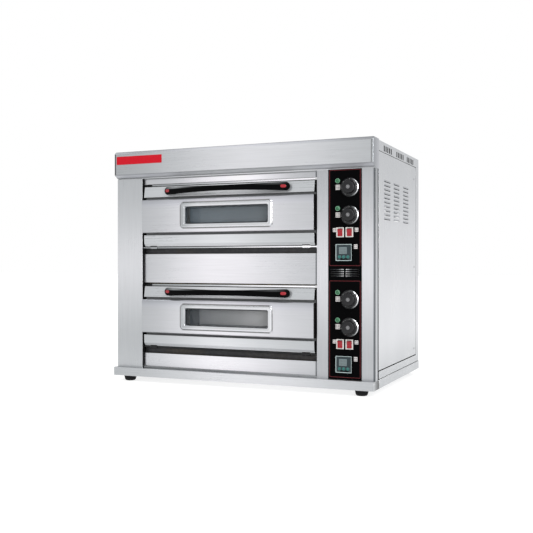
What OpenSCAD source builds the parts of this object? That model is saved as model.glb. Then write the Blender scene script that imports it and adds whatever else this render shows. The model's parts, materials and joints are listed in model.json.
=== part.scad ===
// Two-deck electric bakery oven with drop-down doors and a control column.
// Millimetres. +Z is up, +X is to the right of a person facing the doors, the doors face -Y.
// The origin is the centre of the footprint on the floor, handles and cable gland included.

/* [Overall] */
// Width of the base plinth
base_w = 1230; // [1228:1:1300]
// Width across the columns, hood and side panels
body_w = 1226; // [1220:1:1226]
// Depth from the hood face to the back of the base
body_d = 795; // [780:5:860]
// How far the handles stand ahead of the hood face
handle_overhang = 35; // [30:1:45]
// How far the cable gland stands out behind the base
gland_overhang = 20; // [16:1:30]
// Gauge of the folded sheet steel
sheet = 1.5; // [1:0.1:2]

/* [Heights] */
// Height of the rubber feet
foot_h = 25; // [20:1:40]
// Height of the base plinth
plinth_h = 37; // [30:1:45]
// Height of the columns
column_h = 860; // [854:1:880]
// Height of the hood above the columns
hood_h = 124.5; // [118:0.5:140]
// Height of the lower hinge axis above the plinth
lower_hinge_up = 96; // [94:1:100]
// Distance between the two hinge axes
deck_pitch = 450; // [448:1:456]

/* [Front] */
// Depth of the column face behind the hood face
column_face = 28; // [26:1:30]
// Depth of the fixed panels behind the hood face
recess_face = 43; // [43:1:46]
// Width of the left column
left_column_w = 133; // [120:1:140]
// Width of the right column
right_column_w = 249; // [245:1:255]
// Width of a door
door_w = 828; // [800:1:832]
// Thickness of the door at its raised panel
door_t = 45; // [43:1:45]

/* [Chamber] */
// Clear width inside a chamber
chamber_w = 806; // [780:1:808]
// Clear depth inside a chamber
chamber_d = 640; // [600:5:660]
// Clear height inside a chamber
chamber_h = 230; // [220:1:232]
// Thickness of the hearth plate
hearth_t = 12; // [8:1:14]
// Diameter of the heating rods
element_d = 8; // [6:1:8]

/* [Window and handle] */
// Outer width of the window frame
window_w = 447; // [400:1:460]
// Outer height of the window frame
window_h = 119; // [100:1:122]
// Width of the window frame's face
window_rim = 25; // [20:1:28]
// Length of a handle
handle_l = 580; // [500:5:600]
// How far the middle of a handle bows out past its ends
handle_bow = 48; // [40:1:50]
// Thickness of the handle bar
handle_t = 13; // [10:1:14]

/* [Controls] */
// Width of the control fascia
fascia_w = 143; // [138:1:150]
// Diameter of a thermostat dial
dial_d = 78; // [70:1:80]
// Diameter of the thermostat spindles
spindle_d = 6; // [5:0.5:7]
// Radial clearance of the turning pairs
running_gap = 0.06; // [0.03:0.01:0.1]
// Side of a square timer bezel
timer_side = 72; // [70:1:74]
// Diameter of a timer button
button_d = 8; // [6:0.5:8]
// Travel of a timer button
button_travel = 1.5; // [1:0.1:2]
// Tilt of a rocker to each side, in degrees
rocker_tilt = 7; // [5:1:8]

/* [Hidden] */
$fn = 64;

steel = [0.78, 0.79, 0.80];
dark_steel = [0.30, 0.30, 0.31];
black = [0.05, 0.05, 0.055];
pane = [0.5, 0.55, 0.58, 0.4];

// Heights of the main levels.
plinth_top = foot_h + plinth_h;
column_top = plinth_top + column_h;
total_h = column_top + hood_h;
lower_deck = plinth_top + lower_hinge_up;
upper_deck = lower_deck + deck_pitch;

// Depths count back from the hood face; face_y is where that face lies.
face_y = (handle_overhang - body_d - gland_overhang) / 2;
hood_d = 82;
lip_z = column_top + 4;
rear_face = body_d - 1.5;
post_d = 54;
side_rail_top = plinth_top + 33;
cover_band = 43;
cover_top = total_h - 4.5;
cover_bottom = cover_top - cover_band;
hood_bevel = [10, 3];

// The side panels are shallow pans; narrow shadow gaps part them from the frame around them.
pan_d = 14;
shadow_gap = 4;
foot_gap = 2;
louvre_y = [165, 320, 489];
louvre_z = 720;
louvre_l = 96;
louvre_pitch = 17.5;

// Edges of the recess between the columns.
recess_l = left_column_w - body_w / 2;
recess_r = body_w / 2 - right_column_w;
recess_mid = (recess_l + recess_r) / 2;

// Door levels above its hinge axis, and depths of its skin.
door_bottom = 5;
door_top = 275;
raised_bottom = 67;
raised_top = 216;
groove_h = 11;
groove_y = 47;
raised_face = 11;
strip_face = 25;
strip_inset = 2.5;
door_back = raised_face + door_t;
window_up = 142;
window_dx = 7;
window_r = 18;
handle_up = 253;
handle_dx = 1;
post_r = 11;
rod_r = 4.5;
bush_r = 8;
bush_l = 5;
knuckle_r = 7.5;
knuckle_l = 34;
knuckle_x = [-366, 372];

// Fixed pieces around a door, from its hinge axis.
rail_bottom = 278;
rail_top = 286;
rail_inset = 46;
upper_edge = 287;
lower_edge = 28.5;
sill_h = 9;

// Chamber levels above the hinge axis.
chamber_floor = 14;
hearth_top = 40;
flange_y = door_back + 2.5;
chamber_y = flange_y + sheet;
upper_rods = chamber_floor + chamber_h - 8;
lower_rods = chamber_floor + 7;

// Control places: across, and down from the upper dial of a deck.
controls_x = 485.5;
fascia_y = column_face - 2;
dial_x = 507;
lamp_x = 455;
lamp_up = 28;
dial_step = 113;
switch_down = 183;
switch_x = [466, 505.5];
timer_down = 265.5;
timer_x = 481.5;
lower_dial = lower_deck + 232;
upper_dial = lower_dial + 457;
grille_bottom = plinth_top + 408;
grille_top = grille_bottom + 53;
rocker_hole = [27, 37];
timer_hole = 67;
timer_bezel = 4;
button_x = [-18, 0, 18];
button_down = 18;

// Electrical compartment and mains entry.
bulkhead_x = recess_r - 4;
wool_t = 50;
terminal_z = 96;
gland_x = 480;
gland_z = 150;
gland_thread_r = 12;
gland_bore_r = 8;

// A box between two opposite corners.
module block(from, to) translate(from) cube(to - from);

// Moves a part drawn with depth 0 at the hood face to its place over the footprint.
module placed() translate([0, face_y, 0]) children();

// Extrudes a depth and height outline across the oven.
module across(x_from, x_to)
    translate([x_from, 0, 0]) rotate([90, 0, 90]) linear_extrude(x_to - x_from) children();

// A rod or disc whose axis runs front to back.
module rod_y(r, from, to) translate([0, from, 0]) rotate([-90, 0, 0]) cylinder(r = r, h = to - from);

// Extrudes a width and height outline front to back.
module front_to_back(from, to)
    translate([0, to, 0]) rotate([90, 0, 0]) linear_extrude(to - from) children();

// A rectangle with round corners, centred.
module round_rect(w, h, r) {
    square([w - 2 * r, h], center = true);
    square([w, h - 2 * r], center = true);
    for (x = [-1, 1], z = [-1, 1])
        translate([x * (w / 2 - r), z * (h / 2 - r)]) circle(r);
}

// Base plinth, a closed pan with air slots in its underside and a seam behind its front box.
module base_frame() color(steel) placed() difference() {
    block([-base_w / 2, 0, foot_h], [base_w / 2, body_d, plinth_top]);
    block([-base_w / 2 + sheet, sheet, foot_h + sheet],
        [base_w / 2 - sheet, body_d - sheet, plinth_top - sheet]);
    for (x = [-440 : 110 : 440], y = [250, 520])
        block([x - 30, y, foot_h - 1], [x + 30, y + 8, foot_h + sheet + 1]);
    for (side = [-1, 1])
        translate([side * base_w / 2, 0, 0])
            block([-sheet / 2, hood_d - 3, foot_h - 1], [sheet / 2, hood_d, plinth_top + 1]);
}

// One tapered rubber foot with a bolt recess.
module foot() difference() {
    rotate_extrude() polygon([[0, 0], [18, 0], [22.5, 2.5], [25.5, 8], [29, foot_h], [0, foot_h]]);
    translate([0, 0, -1]) cylinder(r = 9, h = 11);
}

module feet() color(black) placed()
    for (x = [-553, 553], y = [42, body_d - 42]) translate([x, y, 0]) foot();

// Rear corner post with its bottom side rail, for the right side. Both have a web turned inward and
// a lip behind the edge of the side panel, and they stand on an inset skirt.
module side_frame() {
    edge = body_w / 2;
    lip = edge - pan_d - 0.5;
    post_front = rear_face - post_d;
    low = plinth_top + foot_gap;
    block([edge - sheet, post_front, low], [edge, rear_face, cover_bottom]);
    block([edge - 50, rear_face - sheet, plinth_top], [edge - sheet, rear_face, cover_bottom]);
    block([lip - sheet, post_front, low], [edge, post_front + sheet, cover_bottom]);
    block([lip - sheet, post_front - 14, low], [lip, post_front + sheet, cover_bottom]);
    block([edge - sheet, hood_d, low], [edge, post_front + 1, side_rail_top]);
    block([lip - sheet, hood_d, side_rail_top - sheet], [edge, post_front + 1, side_rail_top]);
    block([lip - sheet, hood_d, side_rail_top - sheet], [lip, post_front + 1, side_rail_top + 14]);
    block([edge - 3 - sheet, hood_d, plinth_top], [edge - 3, rear_face, low + 3]);
    block([edge - 3 - sheet, hood_d, low], [edge, rear_face, low + sheet]);
}

module side_frames() color(steel) placed() {
    side_frame();
    mirror([1, 0, 0]) side_frame();
}

// Outer return of a column on the right side, with the shadow groove beside the side panel.
module column_return() {
    edge = body_w / 2;
    block([edge - sheet, column_face, plinth_top], [edge, hood_d - 11, column_top]);
    block([edge - 7 - sheet, hood_d - 11 - sheet, plinth_top], [edge, hood_d - 11, column_top]);
    block([edge - 7 - sheet, hood_d - 11 - sheet, plinth_top], [edge - 7, hood_d - 1, column_top]);
}

module left_column() color(steel) placed() {
    mirror([1, 0, 0]) column_return();
    block([-body_w / 2, column_face, plinth_top], [recess_l, column_face + sheet, column_top]);
    block([recess_l - sheet, column_face, plinth_top], [recess_l, hood_d, column_top]);
}

module right_column() color(steel) placed() {
    column_return();
    difference() {
        block([recess_r, column_face, plinth_top], [body_w / 2, column_face + sheet, column_top]);
        block([controls_x - fascia_w / 2 + 6, 0, plinth_top + 10],
            [controls_x + fascia_w / 2 - 6, 60, column_top - 10]);
    }
    block([recess_r, column_face, plinth_top], [recess_r + sheet, hood_d, column_top]);
}

// Plan of the hood with a shallow bevel at both ends of its face, shrunk inwards by a gauge.
module hood_plan(t) {
    half = body_w / 2 - t;
    polygon([[-half, hood_d + t], [-half, hood_bevel[1] + t], [-half + hood_bevel[0], t],
        [half - hood_bevel[0], t], [half, hood_bevel[1] + t], [half, hood_d + t]]);
}

// Front hood with chamfers along the top and bottom of its face, open at the back.
// Its front lip stops a little above the columns.
module hood() color(steel) placed() difference() {
    intersection() {
        across(-body_w / 2, body_w / 2)
            polygon([[0, lip_z + 16.1], [0, total_h - 13], [13, total_h], [hood_d, total_h],
                [hood_d, column_top], [column_face + 3, column_top], [column_face + 3, lip_z],
                [column_face - 4, lip_z]]);
        linear_extrude(total_h + 1) hood_plan(0);
    }
    intersection() {
        across(-body_w / 2 + sheet, body_w / 2 - sheet)
            polygon([[sheet, lip_z + 17], [sheet, total_h - 13.6], [13.6, total_h - sheet],
                [hood_d + 1, total_h - sheet], [hood_d + 1, column_top + sheet],
                [column_face + 3 + sheet, column_top + sheet],
                [column_face + 3 + sheet, lip_z + sheet], [column_face - 3.5, lip_z + sheet]]);
        linear_extrude(total_h + 1) hood_plan(sheet);
    }
}

module nameplate() color([0.72, 0.05, 0.08]) placed() translate([-480.5, 0, total_h - 41])
    front_to_back(-1.5, 0) round_rect(237, 37, 2);

// Top cover with air slots in its side bands.
module top_cover() color(steel) placed() difference() {
    block([-body_w / 2, hood_d, cover_bottom], [body_w / 2, rear_face, cover_top]);
    block([-body_w / 2 + sheet, hood_d + sheet, cover_bottom + sheet],
        [body_w / 2 - sheet, rear_face - sheet, cover_top - sheet]);
    block([-body_w / 2 + pan_d + 3, hood_d + sheet, cover_bottom - 1],
        [body_w / 2 - pan_d - 3, rear_face - sheet, cover_bottom + sheet + 1]);
    for (start = [157, 366, 556], i = [0 : 4])
        block([-body_w, start + i * 28, cover_top - 38], [body_w, start + i * 28 + 15, cover_top - 14]);
}

// Right side panel, a shallow pan with three columns of louvre slots.
module side_panel() {
    low = side_rail_top + shadow_gap;
    high = cover_bottom - foot_gap;
    back = rear_face - post_d - shadow_gap;
    difference() {
        block([body_w / 2 - pan_d, hood_d, low], [body_w / 2, back, high]);
        block([body_w / 2 - pan_d - 1, hood_d + sheet, low + sheet],
            [body_w / 2 - sheet, back - sheet, high - sheet]);
        for (y = louvre_y, i = [0 : 9])
            translate([body_w / 2, y, louvre_z + i * louvre_pitch])
                block([-5, 0, 0], [5, louvre_l, 5]);
    }
}

module right_side_panel() color(steel) placed() side_panel();
module left_side_panel() color(steel) placed() mirror([1, 0, 0]) side_panel();

// Rear panel between the corner posts, with air slots and the gland hole.
module rear_panel() color(steel) placed() difference() {
    block([-body_w / 2 + 50, rear_face - sheet, plinth_top], [body_w / 2 - 50, rear_face, cover_bottom]);
    for (x = [420, 500], i = [0 : 11])
        block([x - 30, 0, 650 + i * 18], [x + 30, body_d, 656 + i * 18]);
    translate([gland_x, 0, gland_z]) rod_y(gland_thread_r + running_gap, body_d - 60, body_d);
}

// A fixed front panel folded back along its top and bottom edges.
module recess_panel(z_from, z_to) {
    block([recess_l, recess_face, z_from], [recess_r, recess_face + sheet, z_to]);
    block([recess_l, recess_face, z_from], [recess_r, flange_y - 1, z_from + sheet]);
    block([recess_l, recess_face, z_to - sheet], [recess_r, flange_y - 1, z_to]);
}

module header_panel() color(steel) placed() {
    recess_panel(upper_deck + upper_edge, column_top);
    block([recess_l, recess_face - 4, column_top - 4], [recess_r, recess_face, column_top]);
}

module middle_panel() color(steel) placed()
    recess_panel(lower_deck + upper_edge + 4, upper_deck - lower_edge);

module kick_panel() color(steel) placed() {
    recess_panel(plinth_top + sill_h, lower_deck - lower_edge);
    block([recess_l, recess_face - 8, plinth_top],
        [recess_r, recess_face + sheet, plinth_top + sill_h]);
}

// Bright strips that the tops of the doors close under.
module door_rails() color(steel) placed() for (deck = [lower_deck, upper_deck])
    block([recess_l + rail_inset, recess_face - 4, deck + rail_bottom],
        [recess_r, recess_face + 6, deck + rail_top]);

// Fixed hinge rods, each held at both ends by a bush beside a column.
module hinge_rods() color([0.85, 0.85, 0.86]) placed() for (deck = [lower_deck, upper_deck]) {
    translate([recess_l, recess_face, deck]) rotate([0, 90, 0])
        cylinder(r = rod_r, h = recess_r - recess_l);
    for (x = [recess_l, recess_r - bush_l])
        translate([x, recess_face, deck]) rotate([0, 90, 0]) cylinder(r = bush_r, h = bush_l);
}

// Openings in a fascia for one deck's controls.
module control_holes(dial_z) {
    for (step = [0, dial_step]) {
        translate([dial_x, 0, dial_z - step]) rod_y(spindle_d / 2 + 1, 0, 60);
        translate([lamp_x, 0, dial_z - step + lamp_up]) rod_y(7, 0, 60);
    }
    for (x = switch_x)
        translate([x, 0, dial_z - switch_down]) front_to_back(0, 60) square(rocker_hole, center = true);
    translate([timer_x, 0, dial_z - timer_down])
        front_to_back(0, 60) square(timer_hole, center = true);
}

// One control fascia plate with its openings.
module fascia(z_from, z_to, dial_z) difference() {
    block([controls_x - fascia_w / 2, fascia_y, z_from], [controls_x + fascia_w / 2, column_face, z_to]);
    control_holes(dial_z);
}

module upper_fascia() color(black) placed() fascia(grille_top, column_top, upper_dial);
module lower_fascia() color(black) placed() fascia(plinth_top, grille_bottom, lower_dial);

// Slotted grille between the two fascias.
module vent_grille() color(dark_steel) placed() difference() {
    block([controls_x - fascia_w / 2, fascia_y, grille_bottom],
        [controls_x + fascia_w / 2, column_face, grille_top]);
    for (x = [-61, 3], i = [0 : 3])
        block([controls_x + x, 0, grille_bottom + 10.5 + i * 9],
            [controls_x + x + 58, 60, grille_bottom + 15 + i * 9]);
}

// One chamber: a five-sided liner with a wide front flange and rails for its hearth plate.
module chamber(deck) {
    mid = recess_mid;
    half = chamber_w / 2;
    low = deck + chamber_floor;
    high = low + chamber_h;
    difference() {
        union() {
            block([mid - half - sheet, flange_y, low - sheet],
                [mid + half + sheet, chamber_y + chamber_d + sheet, high + sheet]);
            block([recess_l + 0.5, flange_y, deck - lower_edge + 1],
                [recess_r - 0.5, chamber_y, deck + rail_top]);
        }
        block([mid - half, flange_y - 1, low], [mid + half, chamber_y + chamber_d, high]);
    }
    for (side = [-1, 1])
        translate([mid + side * (half - 6), 0, 0])
            block([-6, chamber_y + 12, deck + hearth_top - hearth_t - 3],
                [6, chamber_y + chamber_d, deck + hearth_top - hearth_t]);
}

module upper_chamber() color(dark_steel) placed() chamber(upper_deck);
module lower_chamber() color(dark_steel) placed() chamber(lower_deck);

// Hearth plates that the trays stand on.
module hearth_plates() color([0.55, 0.52, 0.48]) placed() for (deck = [lower_deck, upper_deck])
    block([recess_mid - chamber_w / 2 + 2, chamber_y + 12, deck + hearth_top - hearth_t],
        [recess_mid + chamber_w / 2 - 2, chamber_y + chamber_d - 2, deck + hearth_top]);

// One hairpin heating rod lying flat, its two legs leaving to the right.
module hairpin(leg_gap) {
    reach = chamber_w / 2 + 40;
    bend_x = -chamber_w / 2 + 70;
    for (side = [-1, 1])
        translate([bend_x, side * leg_gap / 2, 0]) rotate([0, 90, 0])
            cylinder(d = element_d, h = reach - bend_x);
    translate([bend_x, 0, 0]) rotate([0, 0, 90]) rotate_extrude(angle = 180)
        translate([leg_gap / 2, 0]) circle(d = element_d);
}

module heating_elements() color([0.32, 0.27, 0.25]) placed()
    for (deck = [lower_deck, upper_deck], z = [lower_rods, upper_rods], i = [0 : 2])
        translate([recess_mid, chamber_y + 115 + i * 205, deck + z]) hairpin(90);

// Mineral wool wrapped around each chamber.
module insulation() color([0.86, 0.80, 0.62]) placed()
    for (deck = [lower_deck, upper_deck])
        translate([recess_mid, 0, deck + chamber_floor]) difference() {
            half = chamber_w / 2 + sheet;
            back = chamber_y + chamber_d + sheet;
            block([-half - wool_t, hood_d + 10, -sheet - wool_t],
                [bulkhead_x - recess_mid, back + wool_t, chamber_h + sheet + wool_t]);
            block([-half, 0, -sheet], [half, back, chamber_h + sheet]);
        }

// Wall between the chambers and the electrical compartment.
module bulkhead() color(steel) placed()
    block([bulkhead_x, hood_d, plinth_top], [bulkhead_x + sheet, rear_face - sheet, cover_bottom]);

// Temperature probes at the back of each chamber, one near the top and one near the hearth.
module probes() color([0.75, 0.6, 0.35]) placed()
    for (deck = [lower_deck, upper_deck], z = [hearth_top + 18, upper_rods - 16])
        translate([recess_mid + chamber_w / 2 - 25, 0, deck + z])
            rod_y(3, chamber_y + chamber_d - 30, chamber_y + chamber_d);

// Thermostat body behind a dial, bored for the spindle.
module thermostat() difference() {
    union() {
        block([-22, column_face + 9, -22], [22, column_face + 52, 22]);
        rod_y(8, column_face, column_face + 9);
    }
    rod_y(spindle_d / 2 + running_gap, column_face - 1, column_face + 35);
}

module thermostats() color([0.82, 0.82, 0.78]) placed()
    for (dial_z = [lower_dial, upper_dial], step = [0, dial_step])
        translate([dial_x, 0, dial_z - step]) thermostat();

// Signal lamp with a bezel in front of the fascia and its body behind.
module pilot_lamps() color([0.1, 0.6, 0.3]) placed()
    for (dial_z = [lower_dial, upper_dial], step = [0, dial_step])
        translate([lamp_x, 0, dial_z - step + lamp_up]) {
            rod_y(10, fascia_y - 2, fascia_y);
            rod_y(6.5, fascia_y - 4, fascia_y + 26);
        }

// Rocker switch housing with a pocket and pivot holes for the rocker.
module switch_housing() difference() {
    union() {
        front_to_back(fascia_y - 2, fascia_y) square([32, 40], center = true);
        front_to_back(fascia_y - 1, fascia_y + 30) square(rocker_hole, center = true);
    }
    block([-10.5, fascia_y - 3, -16.5], [10.5, fascia_y + 16, 16.5]);
    translate([-20, fascia_y + 5, 0]) rotate([0, 90, 0]) cylinder(r = 1.5 + running_gap, h = 40, $fn = 32);
}

module switch_housings() color([0.85, 0.83, 0.8]) placed()
    for (dial_z = [lower_dial, upper_dial], x = switch_x)
        translate([x, 0, dial_z - switch_down]) switch_housing();

// Timer case with a square bezel, a display window and three button wells.
module timer_housing() difference() {
    union() {
        front_to_back(fascia_y - timer_bezel, fascia_y) round_rect(timer_side, timer_side, 3);
        front_to_back(fascia_y - 1, fascia_y + 62) square(timer_hole, center = true);
    }
    block([-19, fascia_y - 5, -5], [13, fascia_y - 2, 21]);
    for (x = button_x)
        translate([x, 0, -button_down]) rod_y(button_d / 2 + 0.3, fascia_y - 5, fascia_y + 8);
}

module timer_housings() color([0.7, 0.74, 0.72]) placed()
    for (dial_z = [lower_dial, upper_dial])
        translate([timer_x, 0, dial_z - timer_down]) timer_housing();

module timer_displays() color([0.6, 0.64, 0.62]) placed()
    for (dial_z = [lower_dial, upper_dial])
        translate([timer_x, 0, dial_z - timer_down])
            block([-18.5, fascia_y - 3.5, -4.5], [12.5, fascia_y - 2, 20.5]);

// Contactors on a rail fixed to the bulkhead.
module contactors() color([0.2, 0.2, 0.22]) placed() {
    rail_x = bulkhead_x + sheet;
    block([rail_x, 240, 285], [rail_x + 7.5, 520, 320]);
    for (y = [260, 330, 400, 470])
        block([rail_x + 7.5, y, 260], [rail_x + 90, y + 45, 345]);
}

// Mains terminal block near the gland, fixed to the bulkhead.
module terminal_block() color([0.75, 0.75, 0.7]) placed() {
    rail_x = bulkhead_x + sheet;
    block([rail_x, 600, terminal_z + 4], [rail_x + 6, 740, terminal_z + 44]);
    for (i = [0 : 4])
        translate([rail_x + 6, 604 + i * 27, terminal_z]) cube([40, 22, 48]);
}

// Mains cable gland through the rear panel.
module cable_gland() color(black) placed() translate([gland_x, 0, gland_z]) difference() {
    union() {
        rod_y(gland_thread_r, rear_face - 20, body_d);
        translate([0, rear_face + 6, 0]) rotate([90, 0, 0]) cylinder(r = 17, h = 6, $fn = 6);
        translate([0, rear_face - sheet, 0]) rotate([90, 0, 0]) cylinder(r = 17, h = 5, $fn = 6);
        rod_y(14, rear_face + 6, body_d + gland_overhang);
    }
    rod_y(gland_bore_r, 0, body_d + gland_overhang + 1);
}

// Pan-head screw whose head stands out along +X at the origin.
module screw() {
    rotate([0, 90, 0]) cylinder(r1 = 4.5, r2 = 3.5, h = 2);
    translate([-6, 0, 0]) rotate([0, 90, 0]) cylinder(r = 1.8, h = 6.5, $fn = 24);
}

module screws() color([0.7, 0.7, 0.7]) placed() {
    for (side = [0, 1]) mirror([side, 0, 0])
        for (z = [130, 520, 938])
            translate([body_w / 2, rear_face - post_d - 40, z]) screw();
    for (x = [-540, -180, 180, 540], z = [100, 520, 960])
        translate([x, rear_face, z]) rotate([0, 0, 90]) screw();
}

// Outer skin of a door: a raised panel between two strips, with the window cut out. The strips lean
// back towards the top and bottom edges and are a little shorter than the raised panel.
module strips_outline(t) {
    polygon([[door_back - 2 + t, door_bottom + t], [strip_face + 12 + t, door_bottom + t],
        [strip_face + 2 + t, door_bottom + 14], [strip_face + t, raised_bottom - groove_h - t],
        [groove_y + t, raised_bottom - groove_h - t], [groove_y + t, raised_top + groove_h + t],
        [strip_face + t, raised_top + groove_h + t], [strip_face + 8 + t, door_top - t],
        [door_back - 2 + t, door_top - t]]);
}

module raised_outline(t) {
    polygon([[door_back - 2 + t, raised_bottom + t], [raised_face + 4 + t, raised_bottom + t],
        [raised_face + t, raised_bottom + 4], [raised_face + t, raised_top - 4],
        [raised_face + 4 + t, raised_top - t], [door_back - 2 + t, raised_top - t]]);
}

module door_shell() difference() {
    half = door_w / 2;
    union() {
        across(recess_mid - half + strip_inset, recess_mid + half - strip_inset) strips_outline(0);
        across(recess_mid - half, recess_mid + half) raised_outline(0);
    }
    across(recess_mid - half + strip_inset + sheet, recess_mid + half - strip_inset - sheet)
        strips_outline(sheet);
    across(recess_mid - half + sheet, recess_mid + half - sheet) raised_outline(sheet);
    translate([recess_mid + window_dx, 0, window_up])
        front_to_back(0, 60) round_rect(window_w - 12, window_h - 12, window_r - 6);
    for (x = knuckle_x)
        translate([recess_mid + x, 0, 0])
            block([-knuckle_l / 2 - 1, strip_face + 9.5, 0], [knuckle_l / 2 + 1, door_back, 18]);
}

// Inner panel of a door with its two hinge knuckles, bored for the hinge rod.
module door_liner() difference() {
    union() {
        block([recess_mid - door_w / 2 + 2, door_back - 2, door_bottom + 1],
            [recess_mid + door_w / 2 - 2, door_back, door_top - 1]);
        for (x = knuckle_x) {
            block([recess_mid + x - knuckle_l / 2, recess_face, 0],
                [recess_mid + x + knuckle_l / 2, door_back - 1, 14]);
            translate([recess_mid + x - knuckle_l / 2, recess_face, 0]) rotate([0, 90, 0])
                cylinder(r = knuckle_r, h = knuckle_l);
        }
    }
    for (x = knuckle_x)
        translate([recess_mid + x - knuckle_l / 2 - 1, recess_face, 0]) rotate([0, 90, 0])
            cylinder(r = rod_r + running_gap, h = knuckle_l + 2);
    translate([recess_mid + window_dx, 0, window_up])
        front_to_back(0, 80) round_rect(window_w - 90, window_h - 50, 8);
}

// Polished window frame with a stepped face, set into the door skin.
module window_frame() translate([recess_mid + window_dx, 0, window_up]) difference() {
    union() {
        front_to_back(raised_face - 3, raised_face) round_rect(window_w, window_h, window_r);
        front_to_back(raised_face - 6, raised_face) round_rect(window_w - 14, window_h - 14, window_r - 6);
        front_to_back(raised_face - 1, raised_face + 16)
            round_rect(window_w - 13, window_h - 13, window_r - 6.5);
    }
    front_to_back(0, 60) round_rect(window_w - 2 * window_rim, window_h - 2 * window_rim, 8);
    front_to_back(raised_face, raised_face + 20) difference() {
        round_rect(window_w - 18, window_h - 18, window_r - 9);
        round_rect(window_w - 2 * window_rim + 5, window_h - 2 * window_rim + 5, 10);
    }
}

// Outer and inner panes of a door window.
module window_glass() translate([recess_mid + window_dx, 0, window_up]) {
    front_to_back(raised_face + 16, raised_face + 20)
        round_rect(window_w - 24, window_h - 24, window_r - 10);
    front_to_back(door_back - 6, door_back - 2) round_rect(window_w - 60, window_h - 30, 10);
}

// Height outline of the handle bar: tall at both ends and waisted between them.
module handle_outline() {
    waist_r = 1650;
    difference() {
        round_rect(handle_l + 20, 37, 9);
        for (side = [-1, 1])
            translate([0, side * (waist_r + 11.5)]) circle(r = waist_r, $fn = 360);
    }
}

// Bowed door handle with two end posts.
module handle() translate([recess_mid + handle_dx, -handle_overhang, handle_up]) {
    half = handle_l / 2;
    bow_r = (half * half + handle_bow * handle_bow) / (2 * handle_bow);
    intersection() {
        translate([0, bow_r, -20]) difference() {
            cylinder(r = bow_r, h = 40, $fn = 360);
            translate([0, 0, -1]) cylinder(r = bow_r - handle_t, h = 42, $fn = 360);
        }
        front_to_back(-1, handle_bow + 16) handle_outline();
    }
    for (side = [-1, 1])
        translate([side * (half - 16), 0, 0])
            rod_y(post_r, handle_bow + 2, handle_overhang + strip_face + 8);
}

module upper_door_shell() color(steel) placed() translate([0, 0, upper_deck]) door_shell();
module upper_door_liner() color(dark_steel) placed() translate([0, 0, upper_deck]) door_liner();
module upper_window_frame() color(steel) placed() translate([0, 0, upper_deck]) window_frame();
module upper_window_glass() color(pane) placed() translate([0, 0, upper_deck]) window_glass();
module upper_handle() color(black) placed() translate([0, 0, upper_deck]) handle();
module lower_door_shell() color(steel) placed() translate([0, 0, lower_deck]) door_shell();
module lower_door_liner() color(dark_steel) placed() translate([0, 0, lower_deck]) door_liner();
module lower_window_frame() color(steel) placed() translate([0, 0, lower_deck]) window_frame();
module lower_window_glass() color(pane) placed() translate([0, 0, lower_deck]) window_glass();
module lower_handle() color(black) placed() translate([0, 0, lower_deck]) handle();

// Dial, grip and spindle of one thermostat.
module knob(z) color(black) placed() translate([dial_x, fascia_y - 1, z]) rotate([90, 0, 0])
    rotate_extrude() polygon([[0, -37], [spindle_d / 2, -37], [spindle_d / 2, 0], [dial_d / 2, 0],
        [dial_d / 2, 3], [dial_d / 2 - 7, 8], [28, 9], [26, 24], [23, 27], [0, 27]]);

module upper_top_knob() knob(upper_dial);
module upper_bottom_knob() knob(upper_dial - dial_step);
module lower_top_knob() knob(lower_dial);
module lower_bottom_knob() knob(lower_dial - dial_step);

// Rocker on its pivot pin, resting tipped to its off side.
module rocker(x, z) color([0.8, 0.06, 0.08]) placed() translate([x, fascia_y + 5, z])
    rotate([rocker_tilt, 0, 0]) {
        across(-10.1, 10.1)
            polygon([[-9, 0], [-11, 13.8], [-6, 14.4], [4, 8], [7, 0], [4, -8], [-6, -14.4], [-11, -13.8]]);
        translate([-12.5, 0, 0]) rotate([0, 90, 0]) cylinder(r = 1.5, h = 25, $fn = 32);
    }

module upper_light_rocker() rocker(switch_x[0], upper_dial - switch_down);
module upper_power_rocker() rocker(switch_x[1], upper_dial - switch_down);
module lower_light_rocker() rocker(switch_x[0], lower_dial - switch_down);
module lower_power_rocker() rocker(switch_x[1], lower_dial - switch_down);

// Push button of a timer with a slightly domed edge.
module timer_button(i, dial_z) color([0.15, 0.45, 0.42]) placed()
    translate([timer_x + button_x[i], fascia_y - 6, dial_z - timer_down - button_down])
        rotate([-90, 0, 0]) rotate_extrude() polygon([[0, 0], [button_d / 2 - 1, 0],
            [button_d / 2, 1], [button_d / 2, 14 - button_travel - 0.5], [0, 14 - button_travel - 0.5]]);

module upper_timer_button_1() timer_button(0, upper_dial);
module upper_timer_button_2() timer_button(1, upper_dial);
module upper_timer_button_3() timer_button(2, upper_dial);
module lower_timer_button_1() timer_button(0, lower_dial);
module lower_timer_button_2() timer_button(1, lower_dial);
module lower_timer_button_3() timer_button(2, lower_dial);

base_frame();
feet();
side_frames();
left_column();
right_column();
hood();
nameplate();
top_cover();
left_side_panel();
right_side_panel();
rear_panel();
header_panel();
middle_panel();
kick_panel();
door_rails();
hinge_rods();
upper_fascia();
lower_fascia();
vent_grille();
upper_chamber();
lower_chamber();
hearth_plates();
heating_elements();
insulation();
bulkhead();
probes();
thermostats();
pilot_lamps();
switch_housings();
timer_housings();
timer_displays();
contactors();
terminal_block();
cable_gland();
screws();
upper_door_shell();
upper_door_liner();
upper_window_frame();
upper_window_glass();
upper_handle();
lower_door_shell();
lower_door_liner();
lower_window_frame();
lower_window_glass();
lower_handle();
upper_top_knob();
upper_bottom_knob();
lower_top_knob();
lower_bottom_knob();
upper_light_rocker();
upper_power_rocker();
lower_light_rocker();
lower_power_rocker();
upper_timer_button_1();
upper_timer_button_2();
upper_timer_button_3();
lower_timer_button_1();
lower_timer_button_2();
lower_timer_button_3();
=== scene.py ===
"""Looks of the two-deck bakery oven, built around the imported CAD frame."""

import json
import math

import bmesh
import bpy
from mathutils import Matrix, Vector


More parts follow.
